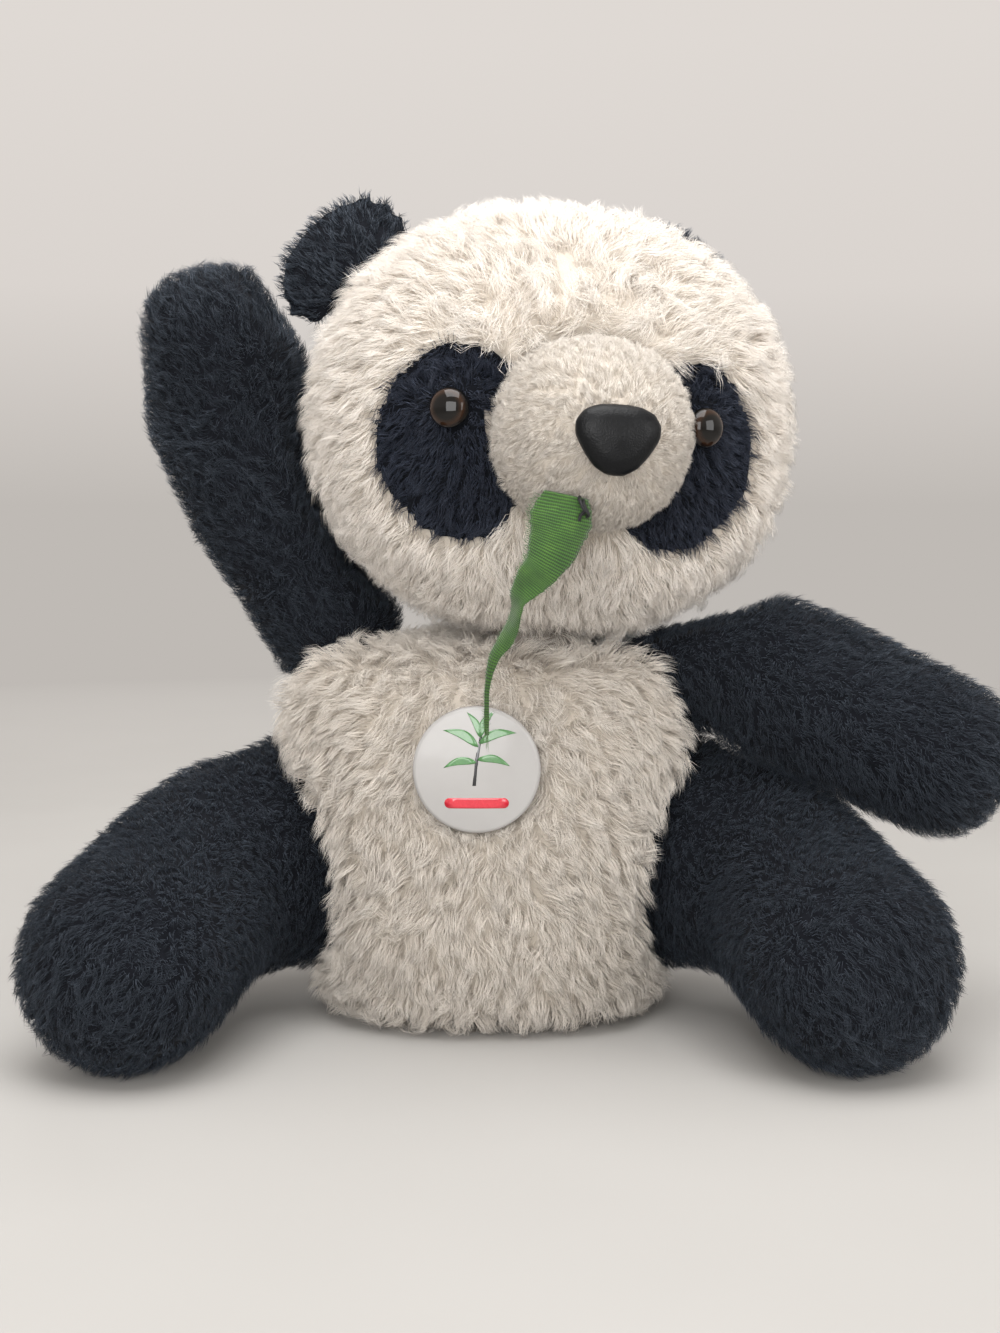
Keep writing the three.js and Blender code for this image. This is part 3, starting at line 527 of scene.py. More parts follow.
NOSE_MAT = nose_material()
EYE_MAT = eye_material()
BLACK_THREAD = thread_material("black_thread_twist", (0.002, 0.002, 0.0025), (0.010, 0.010, 0.012), 0.02)
WHITE_THREAD = thread_material("white_thread_twist", (0.5, 0.48, 0.44), (0.82, 0.8, 0.76))
GREEN_THREAD = thread_material("green_thread_twist", (0.022, 0.085, 0.010), (0.075, 0.205, 0.032))
LEAF_MAT = leaf_material()
WASHER_MAT = moulded("washer_plastic", (0.6, 0.6, 0.58), (0.74, 0.74, 0.72), 0.45)
POST_MAT = moulded("black_moulding", (0.008, 0.008, 0.009), (0.016, 0.016, 0.017), 0.3)
BADGE_MAT = badge_material()
TIN = metal("tinplate", (0.55, 0.55, 0.57), (0.72, 0.72, 0.73), 0.25)
WIRE = metal("pin_steel", (0.5, 0.5, 0.5), (0.7, 0.7, 0.7), 0.2)

# ---------------------------------------------------------------- fur


def fur(name, ob, mat, per_mm2, length, width, comb, keep, steps=3, lean=(20, 66), clump=5.0,
        pull=0.6, wave=0.05, wander=0.45, seed=1, press=None, tone=None, vary=0.3, most=12000):
    """Pile on a skin: closed three-sided strands that taper to a point, gathered into locks.
    per_mm2 is strands per square millimetre, length and width are in mm, lean is the angle from the
    surface's normal at root and tip, clump is the distance between locks in mm."""
    r = np.random.default_rng(seed)
    co, tris = points(ob.data), triangles(ob.data)
    vn = normals(co, tris)
    a, b, c = (co[tris[:, i]] for i in range(3))
    area = np.linalg.norm(np.cross(b - a, c - a), axis=1) / 2
    want = area.sum() * 1e6 * per_mm2
    pick = r.choice(len(tris), int(want), p=area / area.sum())
    u, v = r.random(len(pick)), r.random(len(pick))
    flip = u + v > 1
    u[flip], v[flip] = 1 - u[flip], 1 - v[flip]
    w = np.stack([1 - u - v, u, v], -1)[..., None]
    root = (co[tris[pick]] * w).sum(1)
    n = unit((vn[tris[pick]] * w).sum(1))
    ok = keep(root, n)
    share = np.where(ok > 0, ok, 0) if ok.dtype != bool else ok.astype(float)
    live = r.random(len(root)) < share
    root, n = root[live], n[live]
    size = len(root)

    # Locks: every strand leans towards the tip of the nearest lock's centre strand.
    patch = 1 / (clump * clump)
    heads = r.choice(size, max(1, int(size * min(1, patch / per_mm2))), replace=False)
    kd = KDTree(len(heads))
    for i, h in enumerate(heads):
        kd.insert(Vector(root[h]), i)
    kd.balance()
    mine = np.array([kd.find(Vector(p))[1] for p in root])
    head_of = heads[mine]

    drift, small = swell(0.045, seed + 5), swell(0.014, seed + 6)
    own = r.normal(size=(len(heads), 3))
    flow = comb(root, n)
    flow = flow + wander * drift(root) * 0.8 + wander * small(root) * 0.5
    flow = across(flow + wander * own[mine] * 0.9 + r.normal(size=(size, 3)) * 0.13, n)
    side = np.cross(n, flow)
    long = length * MM * r.uniform(0.75, 1.12, size) * r.uniform(0.85, 1.12, len(heads))[mine]
    tilt = np.radians(r.normal(0, 7, len(heads)))[mine] + np.radians(r.normal(0, 5, size))
    phase = r.uniform(0, 2 * math.pi, len(heads))[mine] + r.normal(0, 0.5, size)

    line = [root - n * 0.6 * MM]
    dirs = []
    for k in range(steps):
        t = k / max(1, steps - 1)
        ang = np.radians(lean[0] + (lean[1] - lean[0]) * t) + tilt
        ang = np.clip(ang, 0.05, 1.5)[:, None]
        d = n * np.cos(ang) + flow * np.sin(ang)
        d = unit(d + side * (np.sin(phase + 2.4 * k) * wave * 8)[:, None])
        dirs.append(d)
        line.append(line[-1] + d * (long / steps)[:, None])
    line = np.stack(line, 1)  # strand, step, xyz
    t = (np.arange(steps + 1) / steps)[None, :, None]
    heads_line = line[head_of]
    line = line + (heads_line - line) * (pull * t**1.4)
    if press is not None:
        line = press(line)
    line[..., 2] = np.maximum(line[..., 2], 0.0005)

    # Rings of three points round the line, and a point at the tip.
    step_dir = unit(np.diff(line, axis=1))
    face = unit(n[:, None] + r.normal(size=(size, 1, 3)) * 0.5)
    s1 = unit(np.cross(step_dir, face))
    s2 = np.cross(step_dir, s1)
    thick = (1 - 0.75 * (np.arange(steps) / steps) ** 1.5) * width * MM / 2
    thick = thick[None, :, None] * r.uniform(0.75, 1.25, (size, 1, 1))
    rings = []
    for j in range(3):
        th = 2 * math.pi * j / 3
        rings.append(line[:, :-1] + thick * (s1 * math.cos(th) + s2 * math.sin(th) * 0.6))
    rings = np.stack(rings, 2).reshape(size, steps * 3, 3)
    verts = np.concatenate([rings, line[:, -1:]], 1)
    per = steps * 3 + 1
    # Each strand's U: random by lock and by strand, plus large smooth patches; through the black piles'
    # colour ramp its light end is painted sheen
    value = 0.5 + vary * (0.55 * r.normal(size=len(heads))[mine] + 0.45 * r.normal(size=size)) * 0.5
    value = value + vary * 0.5 * swell(0.05, seed + 9)(root)[:, 0] * 0.6
    if tone is not None:
        value = value + tone(root, n)
    value = np.clip(value, 0.02, 0.98)
    vs = np.concatenate([np.repeat(np.arange(steps) / steps, 3), [1.0]]) * 0.96 + 0.02
    quads, tri = [], []
    for k in range(steps - 1):
        for j in range(3):
            j2 = (j + 1) % 3
            quads.append([3 * k + j, 3 * k + j2, 3 * k + 3 + j2, 3 * k + 3 + j])
    last = 3 * (steps - 1)
    tri = [[last + j, last + (j + 1) % 3, 3 * steps] for j in range(3)] + [[0, 2, 1]]
    quads, tri = np.array(quads, int).reshape(-1, 4), np.array(tri, int)

    # Pieces of at most `most` strands, cut across the fur so that each is one area of it.
    count = max(1, math.ceil(size / most))
    order = np.argsort(root[:, 0] * 0.2 + root[:, 2] + 0.7 * (root[:, 1] > 0.02))
    out = []
    for i, ids in enumerate(np.array_split(order, count)):
        m = len(ids)
        start = (np.arange(m) * per)[:, None]
        q = (quads.ravel()[None] + start).ravel()
        g = (tri.ravel()[None] + start).ravel()
        loops = np.concatenate([q, g]).astype(np.int32)
        starts = np.concatenate([np.arange(len(q) // 4) * 4, len(q) + np.arange(len(g) // 3) * 3])
        me = bpy.data.meshes.new(f"{name}_{i + 1}" if count > 1 else name)
        me.vertices.add(m * per)
        me.vertices.foreach_set("co", verts[ids].astype(np.float32).ravel())
        me.loops.add(len(loops))
        me.loops.foreach_set("vertex_index", loops)
        me.polygons.add(len(starts))
        me.polygons.foreach_set("loop_start", starts.astype(np.int32))
        uvs = np.stack([np.repeat(value[ids], per), np.tile(vs, m)], -1)
        me.uv_layers.new(name="OFBake").data.foreach_set("uv", uvs[loops].astype(np.float32).ravel())
        me.polygons.foreach_set("use_smooth", np.ones(len(starts), bool))
        me.materials.append(mat)
        me.update(calc_edges=True)
        out.append(link(me.name, me))
    return out


# ---------------------------------------------------------------- skins

SIDES = {"right": -1, "left": 1}
# Each body's skin: its CAD panels, the size of its faces in metres and the pile's height in mm.
PARTS = {
    "torso": (["torso_front_panel", "torso_back_panel_right", "torso_back_panel_left"], 0.0055, 3.0),
    "head": (["head_front_panel", "head_back_panel"], 0.0055, 5.5),
    "tail": (["tail_skin"], 0.004, 2.5),
}
for s in SIDES:
    PARTS[f"arm_{s}"] = ([f"arm_{s}_front_panel", f"arm_{s}_back_panel"], 0.005, 1.8)
    PARTS[f"leg_{s}"] = ([f"leg_{s}_skin", f"leg_{s}_sole"], 0.005, 2.0)
    PARTS[f"ear_{s}"] = ([f"ear_{s}_front_panel", f"ear_{s}_back_panel"], 0.003, 1.6)
OUTER_VOXEL = 0.003
HAND_BOTTOM = 0.285
NEAR_EAR = {"scale": 1.16, "shift": (0.003, 0, 0.004)}


def is_black(part):
    """Whether a body's pile is black."""
    return part.startswith(("arm", "leg", "ear", "tail"))


OUTER, SKIN = {}, {}
for part, (panels, voxel, depth) in PARTS.items():
    nodes = panels + [part + "_stuffing"]
    more = []
    if part == "arm_right":  # the hand is whole where the CAD makes room for the ear
        co = np.vstack([points(frame["nodes"][n].data) for n in nodes])
        more = [hull("hand", co[co[:, 2] > HAND_BOTTOM])]
    OUTER[part] = tree(joined(part + "_outer", nodes, OUTER_VOXEL, more))
    how = {"rounds": 2, "relax": 2, "checks": 0} if part.startswith("ear") else {}
    cloth = joined(part, nodes, voxel, more)
    SKIN[part] = skin(part + "_skin", cloth, depth * MM, OUTER[part], **how)
at = PIVOT["ear_right_flex"]
co = at + (points(SKIN["ear_right"].data) - at) * NEAR_EAR["scale"] + np.array(NEAR_EAR["shift"])
reshape(SKIN["ear_right"].data, co)
muzzle_hull = hull("muzzle_hull", points(frame["nodes"]["muzzle_skin"].data))
OUTER["muzzle"] = tree(muzzle_hull)
muzzle = remeshed(muzzle_hull, 0.0035)
SKIN["muzzle"] = skin("muzzle_cloth", muzzle, 2.6 * MM, OUTER["muzzle"], rounds=3, relax=1)


def seam_at(y, width=0.003):
    return lambda co: np.abs(co[:, 1] - y) < width


def no_seam(co):
    return np.zeros(len(co), bool)


puffed([
    (SKIN["torso"], seam_at(0.012)), (SKIN["head"], no_seam), (SKIN["muzzle"], no_seam),
    (SKIN["arm_right"], no_seam), (SKIN["arm_left"], no_seam),
    (SKIN["leg_right"], no_seam), (SKIN["leg_left"], no_seam), (SKIN["tail"], no_seam),
])
# The white parts' backing is painted shade for the gaps in their pile.
for part, ob in SKIN.items():
    subdivided(ob)
    dress(ob.data, CLOTH_BLACK if is_black(part) else CLOTH_WHITE_SHADED)

# ---------------------------------------------------------------- places on the face


def centre_of(node):
    lo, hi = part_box(node)
    return (np.array(lo) + np.array(hi)) / 2


def axis_of(front, behind):
    """The line from a washer to the moulding it holds, outwards."""
    a = points(frame["nodes"][front].data)
    b = points(frame["nodes"][behind].data)
    return unit(a.mean(0) - b.mean(0))


EYE_RADIUS = 9.0 * MM
EYE_SINK = 2.5 * MM  # how far the pile's cloth lets each eye in
EYE_GAP = 12 * MM  # no white pile grows nearer an eye's line than this
EYES = {}
for s in SIDES:
    axis = axis_of(f"eye_{s}", f"eye_{s}_washer")
    pts = points(frame["nodes"][f"eye_{s}"].data)
    along = pts @ axis
    line_at = points(frame["nodes"][f"eye_{s}_washer"].data).mean(0)
    top = line_at + axis * (along.max() - line_at @ axis - EYE_SINK)
    EYES[s] = (top, axis)
nose_pts = points(frame["nodes"]["nose"].data)
NOSE_TREE = tree(joined("nose_outer", ["nose"], 0.0012))
HEAD_AT = centre_of("head_stuffing")
BADGE_LO, BADGE_HI = (np.array(v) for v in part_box("badge_film"))
BADGE_AT = (BADGE_LO + BADGE_HI) / 2
BADGE_BACK = np.array(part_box("badge_back_plate")[1])[1]
BADGE_R = (BADGE_HI[0] - BADGE_LO[0]) / 2
PATCH = {s: tree(frame["nodes"][f"eye_patch_{s}"].data) for s in SIDES}
co = points(SKIN["head"].data)
for top, axis in EYES.values():
    off = co - top
    wide = np.linalg.norm(off - axis * (off @ axis)[:, None], axis=1)
    rise = (1 - between(10 * MM, 22 * MM, wide)) * ((off @ axis) > -0.03)
    co = co + axis * (rise * 3.6 * MM)[:, None]
reshape(SKIN["head"].data, co)


def near_eye(p, radius, eyes):
    gap = np.full(len(p), 1.0)
    for top, axis in eyes:
        off = p - top
        off = off - axis * (off @ axis)[:, None]
        gap = np.minimum(gap, np.where(((p - top) @ axis) > -0.03, np.linalg.norm(off, axis=1), 1.0))
    return gap < radius


def over_patch(p, n, reach=0.02):
    """Which points have an eye patch straight above them."""
    out = np.zeros(len(p), bool)
    for i, (q, m) in enumerate(zip(p, n)):
        if q[1] > -0.03:
            continue
        for t in PATCH.values():
            if t.ray_cast(Vector(q - m * 0.002), Vector(m), reach)[0] is not None:
                out[i] = True
                break
    return out


# ---------------------------------------------------------------- pile on each part

DOWN = np.array([0.0, 0.0, -1.0])
density = 1.0
BACK_SHARE = 0.6  # of the white strands at the back, where the pile is seen less


def press_badge(line):
    """Strands under the badge lie behind its back plate."""
    off = line[..., [0, 2]] - BADGE_AT[[0, 2]]
    under = (np.linalg.norm(off, axis=-1) < BADGE_R + 0.6 * MM) & (line[..., 1] < 0)
    line[..., 1] = np.where(under, np.maximum(line[..., 1], BADGE_BACK - 0.0002), line[..., 1])
    return line


def keep_head(p, n):
    out = p + n * 6 * MM
    ok = np.ones(len(p))
    ok[depth_in(OUTER["muzzle"], out) > -0.3 * MM] = 0
    ok[over_patch(p, n) | near_eye(p, EYE_GAP, EYES.values())] = 0
    ok[depth_in(OUTER["torso"], p) > 5 * MM] = 0
    ok *= np.where(p[:, 1] > 0.02, BACK_SHARE, 1.0)
    return ok


def comb_head(p, n):
    away = unit(p - (HEAD_AT + np.array([0.01, -0.10, -0.02])))
    return 0.75 * DOWN + 0.9 * away


def keep_torso(p, n):
    out = p + n * 4 * MM
    ok = np.ones(len(p))
    for other, much in {"head": 5.0, "arm_right": 1.0, "arm_left": 1.0}.items():
        ok[depth_in(OUTER[other], p) > much * MM] = 0
    for other in ("leg_right", "leg_left"):
        ok[depth_in(OUTER[other], p) > 6 * MM] = 0
    ok *= np.where(p[:, 1] > 0.02, BACK_SHARE, 1.0)
    ok[(n[:, 2] < -0.8) & (out[:, 2] < 0.004)] *= 0.15
    return ok


def comb_torso(p, n):
    side = np.zeros_like(p)
    side[:, 0] = np.clip(p[:, 0] / 0.06, -1, 1) * 0.45
    return 0.9 * DOWN + side


def limb_comb(a, b):
    along = unit(b - a)
    return lambda p, n: along * 0.9 + 0.35 * DOWN


def keep_limb(others):
    def keep(p, n):
        ok = np.ones(len(p))
        for other, much in others.items():
            ok[depth_in(OUTER[other], p + n * 2 * MM) > much * MM] = 0
        ok *= np.where(p[:, 1] > 0.05, 0.8, 1.0)
        return ok

    return keep


FUR = {}
FUR["head"] = fur("head_fur", SKIN["head"], WHITE_HEAD, 0.78 * density, 16.5, 0.28, comb_head,
                  keep_head, seed=3, clump=5.6, pull=0.42, wander=0.32, lean=(32, 79), vary=0.2)
FUR["torso"] = fur("torso_fur", SKIN["torso"], WHITE_BODY_SHADED, 0.76 * density, 17.0, 0.30, comb_torso,
                   keep_torso, seed=4, clump=6.0, pull=0.45, wander=0.36, lean=(30, 79), vary=0.22,
                   press=press_badge)


def muzzle_keep(p, n):
    ok = np.ones(len(p))
    ok[depth_in(NOSE_TREE, p + n * 3 * MM) > -1.0 * MM] = 0
    ok[depth_in(OUTER["head"], p) > 9 * MM] = 0
    return ok


def muzzle_comb(p, n):
    nose_at = nose_pts.mean(0)
    return unit(p - nose_at) + 0.25 * DOWN


FUR["muzzle"] = fur("muzzle_fur", SKIN["muzzle"], WHITE_SHORT, 2.0 * density, 7.5, 0.23, muzzle_comb,
                    muzzle_keep, steps=2, lean=(44, 80), clump=3.2, pull=0.4, wander=0.3, seed=8, vary=0.2)

HAND = {"right": (-0.131, -0.004, 0.366), "left": (0.241, -0.068, 0.121)}
FOOT = {s: (x * 0.160, -0.112, 0.0485) for s, x in SIDES.items()}
LIMB_PILE = {"steps": 2, "lean": (36, 74), "clump": 3.0, "pull": 0.35, "wander": 0.35, "vary": 0.22,
             "most": 18000}
SMALL_PILE = {"steps": 2, "clump": 3.6, "pull": 0.45, "wander": 0.6, "vary": 0.5}
for s, x in SIDES.items():
    limbs = (
        ("arm", f"shoulder_{s}", HAND[s], {"torso": 4.5, "head": 1.0}, 20 + x),
        ("leg", f"hip_{s}", FOOT[s], {"torso": 4.5}, 30 + x),
    )
    for limb, joint, end, others, seed in limbs:
        part = f"{limb}_{s}"
        FUR[part] = fur(part + "_fur", SKIN[part], BLACK, 0.68 * density, 9.5, 0.35,
                        limb_comb(PIVOT[joint], np.array(end)), keep_limb(others), seed=seed, **LIMB_PILE)
    FUR[f"ear_{s}"] = fur(f"ear_{s}_fur", SKIN[f"ear_{s}"], BLACK, 0.6 * density, 8.5, 0.46,
                          lambda p, n: unit(p - HEAD_AT), keep_limb({"head": 2.0}), lean=(22, 58),
                          seed=40 + x, **SMALL_PILE)
FUR["tail"] = fur("tail_fur", SKIN["tail"], BLACK, 0.6 * density, 8.0, 0.46,
                  lambda p, n: np.array([0.0, 0.4, -1.0]) + 0 * p, keep_limb({"torso": 1.0}),
                  lean=(24, 60), seed=50, **SMALL_PILE)

# ---------------------------------------------------------------- eye patches


def lifted(name, ob, mask_of, lift, thick, mat):
    """The part of a skin that a mask picks, moved off it and given thickness."""
    me = ob.data
    co, tris = points(me), triangles(me)
    n = normals(co, tris)
    mask = mask_of(co, n)
    faces = [[v for v in p.vertices] for p in me.polygons if all(mask[v] for v in p.vertices)]
    used = sorted({v for f in faces for v in f})
    new = {v: i for i, v in enumerate(used)}
    top = made(name, co[used] + n[used] * lift, [[new[v] for v in f] for f in faces], mat)
    return thickened(top, thick, 1)


PATCHES = {}
for s in SIDES:
    one = PATCH[s]

    def mask(co, n, one=one, s=s):
        out = np.zeros(len(co), bool)
        for i in np.flatnonzero(co[:, 1] < -0.03):
            out[i] = one.ray_cast(Vector(co[i] - n[i] * 0.002), Vector(n[i]), 0.02)[0] is not None
        return out | near_eye(co, EYE_GAP, [EYES[s]])

    PATCHES[s] = lifted(f"eye_patch_{s}_cloth", SKIN["head"], mask, 0.4 * MM, 0.8 * MM, CLOTH_BLACK)
    top, axis = EYES[s]

    def away(p, n, top=top):
        return unit(p - top) * 0.8 + 0.5 * DOWN

    def keep(p, n, axis=axis):
        ok = ((n @ axis) > 0.1).astype(float)
        ok[near_eye(p, 7.6 * MM, EYES.values())] = 0
        ok[depth_in(OUTER["muzzle"], p + n * 4 * MM) > 0] = 0
        return ok

    FUR[f"patch_{s}"] = fur(
        f"eye_patch_{s}_fur", PATCHES[s], BLACK_FACE, 0.85 * density, 9.5, 0.46, away, keep,
        steps=2, lean=(22, 58), clump=3.4, pull=0.4, wander=0.35, seed=60 + SIDES[s], vary=0.4,
    )

# ---------------------------------------------------------------- turned and drawn pieces


def frame_on(axis):
    axis = np.asarray(axis, float)
    up = np.array([0.0, 0.0, 1.0]) if abs(axis[2]) < 0.9 else np.array([0.0, 1.0, 0.0])
    a = unit(np.cross(up, axis))
    return a, np.cross(axis, a), axis


def turned(name, profile, at, axis, mat, sides=64):
    """A closed body of revolution: profile is (radius, height along axis) from the top down, both
    ends on the axis. U runs with the radius and V round the axis."""
    a, b, c = frame_on(axis)
    rows, verts, uv = [], [], []
    most = max(r for r, _ in profile)
    for r, h in profile:
        if r < 1e-9:
            rows.append([len(verts)])
            verts.append(at + c * h)
            uv.append((0.01, 0.5))
            continue
        rows.append(list(range(len(verts), len(verts) + sides)))
        for j in range(sides):
            th = 2 * math.pi * j / sides
            verts.append(at + a * r * math.cos(th) + b * r * math.sin(th) + c * h)
            uv.append((0.01 + 0.98 * r / most, j / sides))
    faces = []
    for p, q in zip(rows, rows[1:]):
        for j in range(sides):
            k = (j + 1) % sides
            if len(p) == 1:
                faces.append([p[0], q[j], q[k]])
            elif len(q) == 1:
                faces.append([p[j], q[0], p[k]])
            else:
                faces.append([p[j], q[j], q[k], p[k]])
    return made(name, verts, faces, mat, uv)


def smooth_line(pts, count):
    """A smooth curve through the points, as count points."""
    pts = np.asarray(pts, float)
    p = np.vstack([2 * pts[0] - pts[1], pts, 2 * pts[-1] - pts[-2]])
    out = []
    for t in np.linspace(0, len(pts) - 1 - 1e-9, count):
        i, f = int(t), t - int(t)
        a, b, c, d = p[i : i + 4]
        out.append(0.5 * (2 * b + (c - a) * f + (2 * a - 5 * b + 4 * c - d) * f * f
                          + (3 * b - a - 3 * c + d) * f**3))
    return np.array(out)


def tube(pts, radius, count=24, sides=7, taper=0.0):
    """Points, faces and UVs of a closed thread along a smooth line."""
    line = smooth_line(pts, count)
    d = unit(np.gradient(line, axis=0))
    s = unit(np.cross(d[0], [0.31, 0.52, 0.79]))
    verts, uv = [], []
    for i in range(count):
        s = unit(s - d[i] * (s @ d[i]))
        t = np.cross(d[i], s)
        e = i / (count - 1)
        w = radius * (1 - taper * e) * min(1, 0.35 + 9 * min(e, 1 - e))
        for j in range(sides):
            th = 2 * math.pi * j / sides
            verts.append(line[i] + w * (s * math.cos(th) + t * math.sin(th)))
            uv.append((j / sides, e * count / 8))
    faces = []
    for i in range(count - 1):
        for j in range(sides):
            k = (j + 1) % sides
            faces.append([i * sides + j, i * sides + k, (i + 1) * sides + k, (i + 1) * sides + j])
    faces.append(list(range(sides))[::-1])
    faces.append([(count - 1) * sides + j for j in range(sides)])
    return verts, faces, uv


def threads(name, lines, radius, mat, **how):
    verts, faces, uv = [], [], []
    for pts in lines:
        v, f, t = tube(pts, radius, **how)
        faces += [[i + len(verts) for i in x] for x in f]
        verts += v
        uv += t
    return made(name, verts, faces, mat, uv)


# Eyes: a domed glossy button on each washer's line.
EYE_OBJ = {}
for s, (top, axis) in EYES.items():
    R = EYE_RADIUS
    profile = [(R * math.sin(a), -6.0 * MM * (1 - math.cos(a))) for a in np.linspace(0, math.pi / 2, 15)]
    profile += [(R * 0.97, -6.8 * MM), (R * 0.85, -7.4 * MM)]
    profile += [(2.0 * MM, -7.6 * MM), (2.0 * MM, -12 * MM), (0, -12 * MM)]
    EYE_OBJ[s] = turned(f"eye_{s}_button", profile, top, axis, EYE_MAT)

# Nose: the CAD moulding made smooth.
nose_me = joined("nose_smooth", ["nose"], 0.0009)
reshape(nose_me, smoothed(points(nose_me), edge_pairs(nose_me), 0.5, 8))
NOSE = link("nose_moulding", nose_me)
subdivided(NOSE)
dress(NOSE.data, NOSE_MAT)

# ---------------------------------------------------------------- leaf

# Along the leaf from its top, in mm: x, y, z, half its width and its twist in degrees.
LEAF_STATIONS = [
    (33, -141.5, 254.5, 9.5, -6), (30.5, -142, 243, 12.8, -4), (27.5, -141.5, 233.5, 11, 2),
    (22.6, -140.5, 224, 8, 12), (18, -139, 218.5, 7, 18), (12.5, -136, 211.5, 5, 44),
    (11.5, -134, 205.5, 4.2, 60), (10, -131, 199, 4, 52), (7, -128, 192.4, 3.6, 40),
    (2, -124, 184, 2.4, 35), (-0.6, -117, 171, 1.2, 30), (-0.9, -110, 159, 1.1, 15),
    (-0.9, -105, 148.5, 1, 0),
]


def leaf_grid(rows=120, cols=13):
    st = np.array(LEAF_STATIONS, float)
    line = smooth_line(st[:, :3], rows) * MM
    shape = smooth_line(np.hstack([st[:, 3:], st[:, :1] * 0]), rows)
    d = unit(np.gradient(line, axis=0))
    r = np.random.default_rng(5)
    ripple = swell(0.02, 77)(line)[:, 0]
    verts, uv = [], []
    for i in range(rows):
        half = max(shape[i, 0], 0.9) * MM
        tw = math.radians(shape[i, 1])
        a = unit(np.array([1.0, 0, 0]) - d[i] * d[i][0])
        b = np.cross(d[i], a)
        side, out = a * math.cos(tw) + b * math.sin(tw), b * math.cos(tw) - a * math.sin(tw)
        edge = 1 + 0.02 * r.normal() + 0.05 * ripple[i]
        for j in range(cols):
            u = 2 * j / (cols - 1) - 1
            bend = -0.22 * half * u * u + 0.10 * half * math.sin(2.2 * u + i * 0.09)
            verts.append(line[i] + side * half * u * edge + out * bend)
            uv.append((0.5 + u * half / (24 * MM), i / rows * 5.5))
    return np.array(verts), np.array(uv), rows, cols


def leaf_piece():
    """Two faces 0.4 mm apart, joined round the edge."""
    g, uv, rows, cols = leaf_grid()
    corners = [i * cols + j for i in range(rows - 1) for j in range(cols - 1)]
    faces = [[c, c + 1, c + cols + 1, c + cols] for c in corners]
    leaf = thickened(made("leaf_cloth", g, faces, LEAF_MAT, uv), 0.4 * MM, 0)
    shade_smooth(leaf.data)
    return leaf, g.reshape(rows, cols, 3)


LEAF, leaf_pts = leaf_piece()


def fringe():
    r = np.random.default_rng(9)
    lines = []
    rows = len(leaf_pts)
    for i in range(2, rows - 3):
        for edge, inner in ((0, 1), (-1, -2)):
            for _ in range(2 if edge == 0 else 1):
                if r.random() > (0.9 if edge == 0 else 0.45):
                    continue
                p, q = leaf_pts[i, edge], leaf_pts[i, inner]
                out = unit(p - q)
                run = unit(leaf_pts[i + 1, edge] - leaf_pts[i - 1, edge])
                size = r.uniform(0.8, (3.4 if i < 34 else 1.8) if edge == 0 else 1.3) * MM
                along = run * r.normal() * 0.5
                end = p + (out + along * 0.6 + r.normal(size=3) * 0.15) * size
                lines.append([q, p + out * size * 0.3, end])
    for _ in range(6):  # loose threads that hang from the thin end
        x = r.normal(size=3) * 0.4 * MM
        p = leaf_pts[-1, 6] + x
        q = p + np.array([r.normal() * 0.8, r.uniform(-0.6, 0.2), -r.uniform(3, 8)]) * MM
        lines.append([leaf_pts[-6, 6], p, (p + q) / 2 + r.normal(size=3) * 0.4 * MM, q])
    return threads("leaf_fringe", lines, 0.2 * MM, GREEN_THREAD, count=5, sides=3, taper=0.6)


FRINGE = fringe()

# ---------------------------------------------------------------- mouth stitches

def stitch_lines():
    top = leaf_pts[2, 9]
    a = top + np.array([2.0, -0.6, -1.0]) * MM
    lines = []
    for dx in (0.0, 1.6):
        p = a + np.array([dx, 0, -dx * 0.8]) * MM
        lines.append([
            p + np.array([-1.0, 3.5, 3.6]) * MM, p + np.array([-1.6, 0.2, 2.6]) * MM,
            p + np.array([-0.6, -1.2, 0.0]) * MM, p + np.array([0.6, -0.8, -2.6]) * MM,
            p + np.array([0.2, 1.6, -3.6]) * MM, p + np.array([0.0, 4.0, -3.4]) * MM,
        ])
    p = a + np.array([0.2, 0.2, -3.0]) * MM
    lines.append([p, p + np.array([-1.4, -0.8, -1.6]) * MM, p + np.array([-1.8, -0.6, -3.8]) * MM])
    return lines


STITCH = threads("mouth_stitch_thread", stitch_lines(), 0.75 * MM, BLACK_THREAD, count=28, sides=8)

# ---------------------------------------------------------------- badge

face_y = BADGE_LO[1]
R, dome = BADGE_R, 4.5 * MM


def dome_y(r):
    """How far the badge's face is behind its middle at radius r."""
    flat = 0.93 * R
    k = np.clip(r / flat, 0, 1)
    y = dome * 0.45 * k * k
    turn = 1 - np.sqrt(np.clip(1 - ((r - flat) / (R - flat)) ** 2, 0, 1))
    return float(y + np.where(r > flat, turn * 2.6 * MM, 0))


profile = [(0.0, 0.0)]
rim = 0.93 + 0.07 * np.sin(np.linspace(0.15, math.pi / 2, 8))
radii = R * np.concatenate([np.linspace(0.06, 0.93, 18), rim])
profile += [(r, -dome_y(r)) for r in radii]
low = -dome_y(R)
profile += [(R, low - 1.0 * MM), (R * 0.985, low - 1.7 * MM), (R * 0.95, low - 1.9 * MM),
            (R * 0.93, low - 0.9 * MM), (R * 0.90, low + 1.2 * MM),
            (0.6 * R, -dome * 0.3 - 1.0 * MM), (0.0, -1.0 * MM)]
BADGE = turned("badge_face", profile, np.array([BADGE_AT[0], face_y, BADGE_AT[2]]), (0, -1, 0), BADGE_MAT, 96)


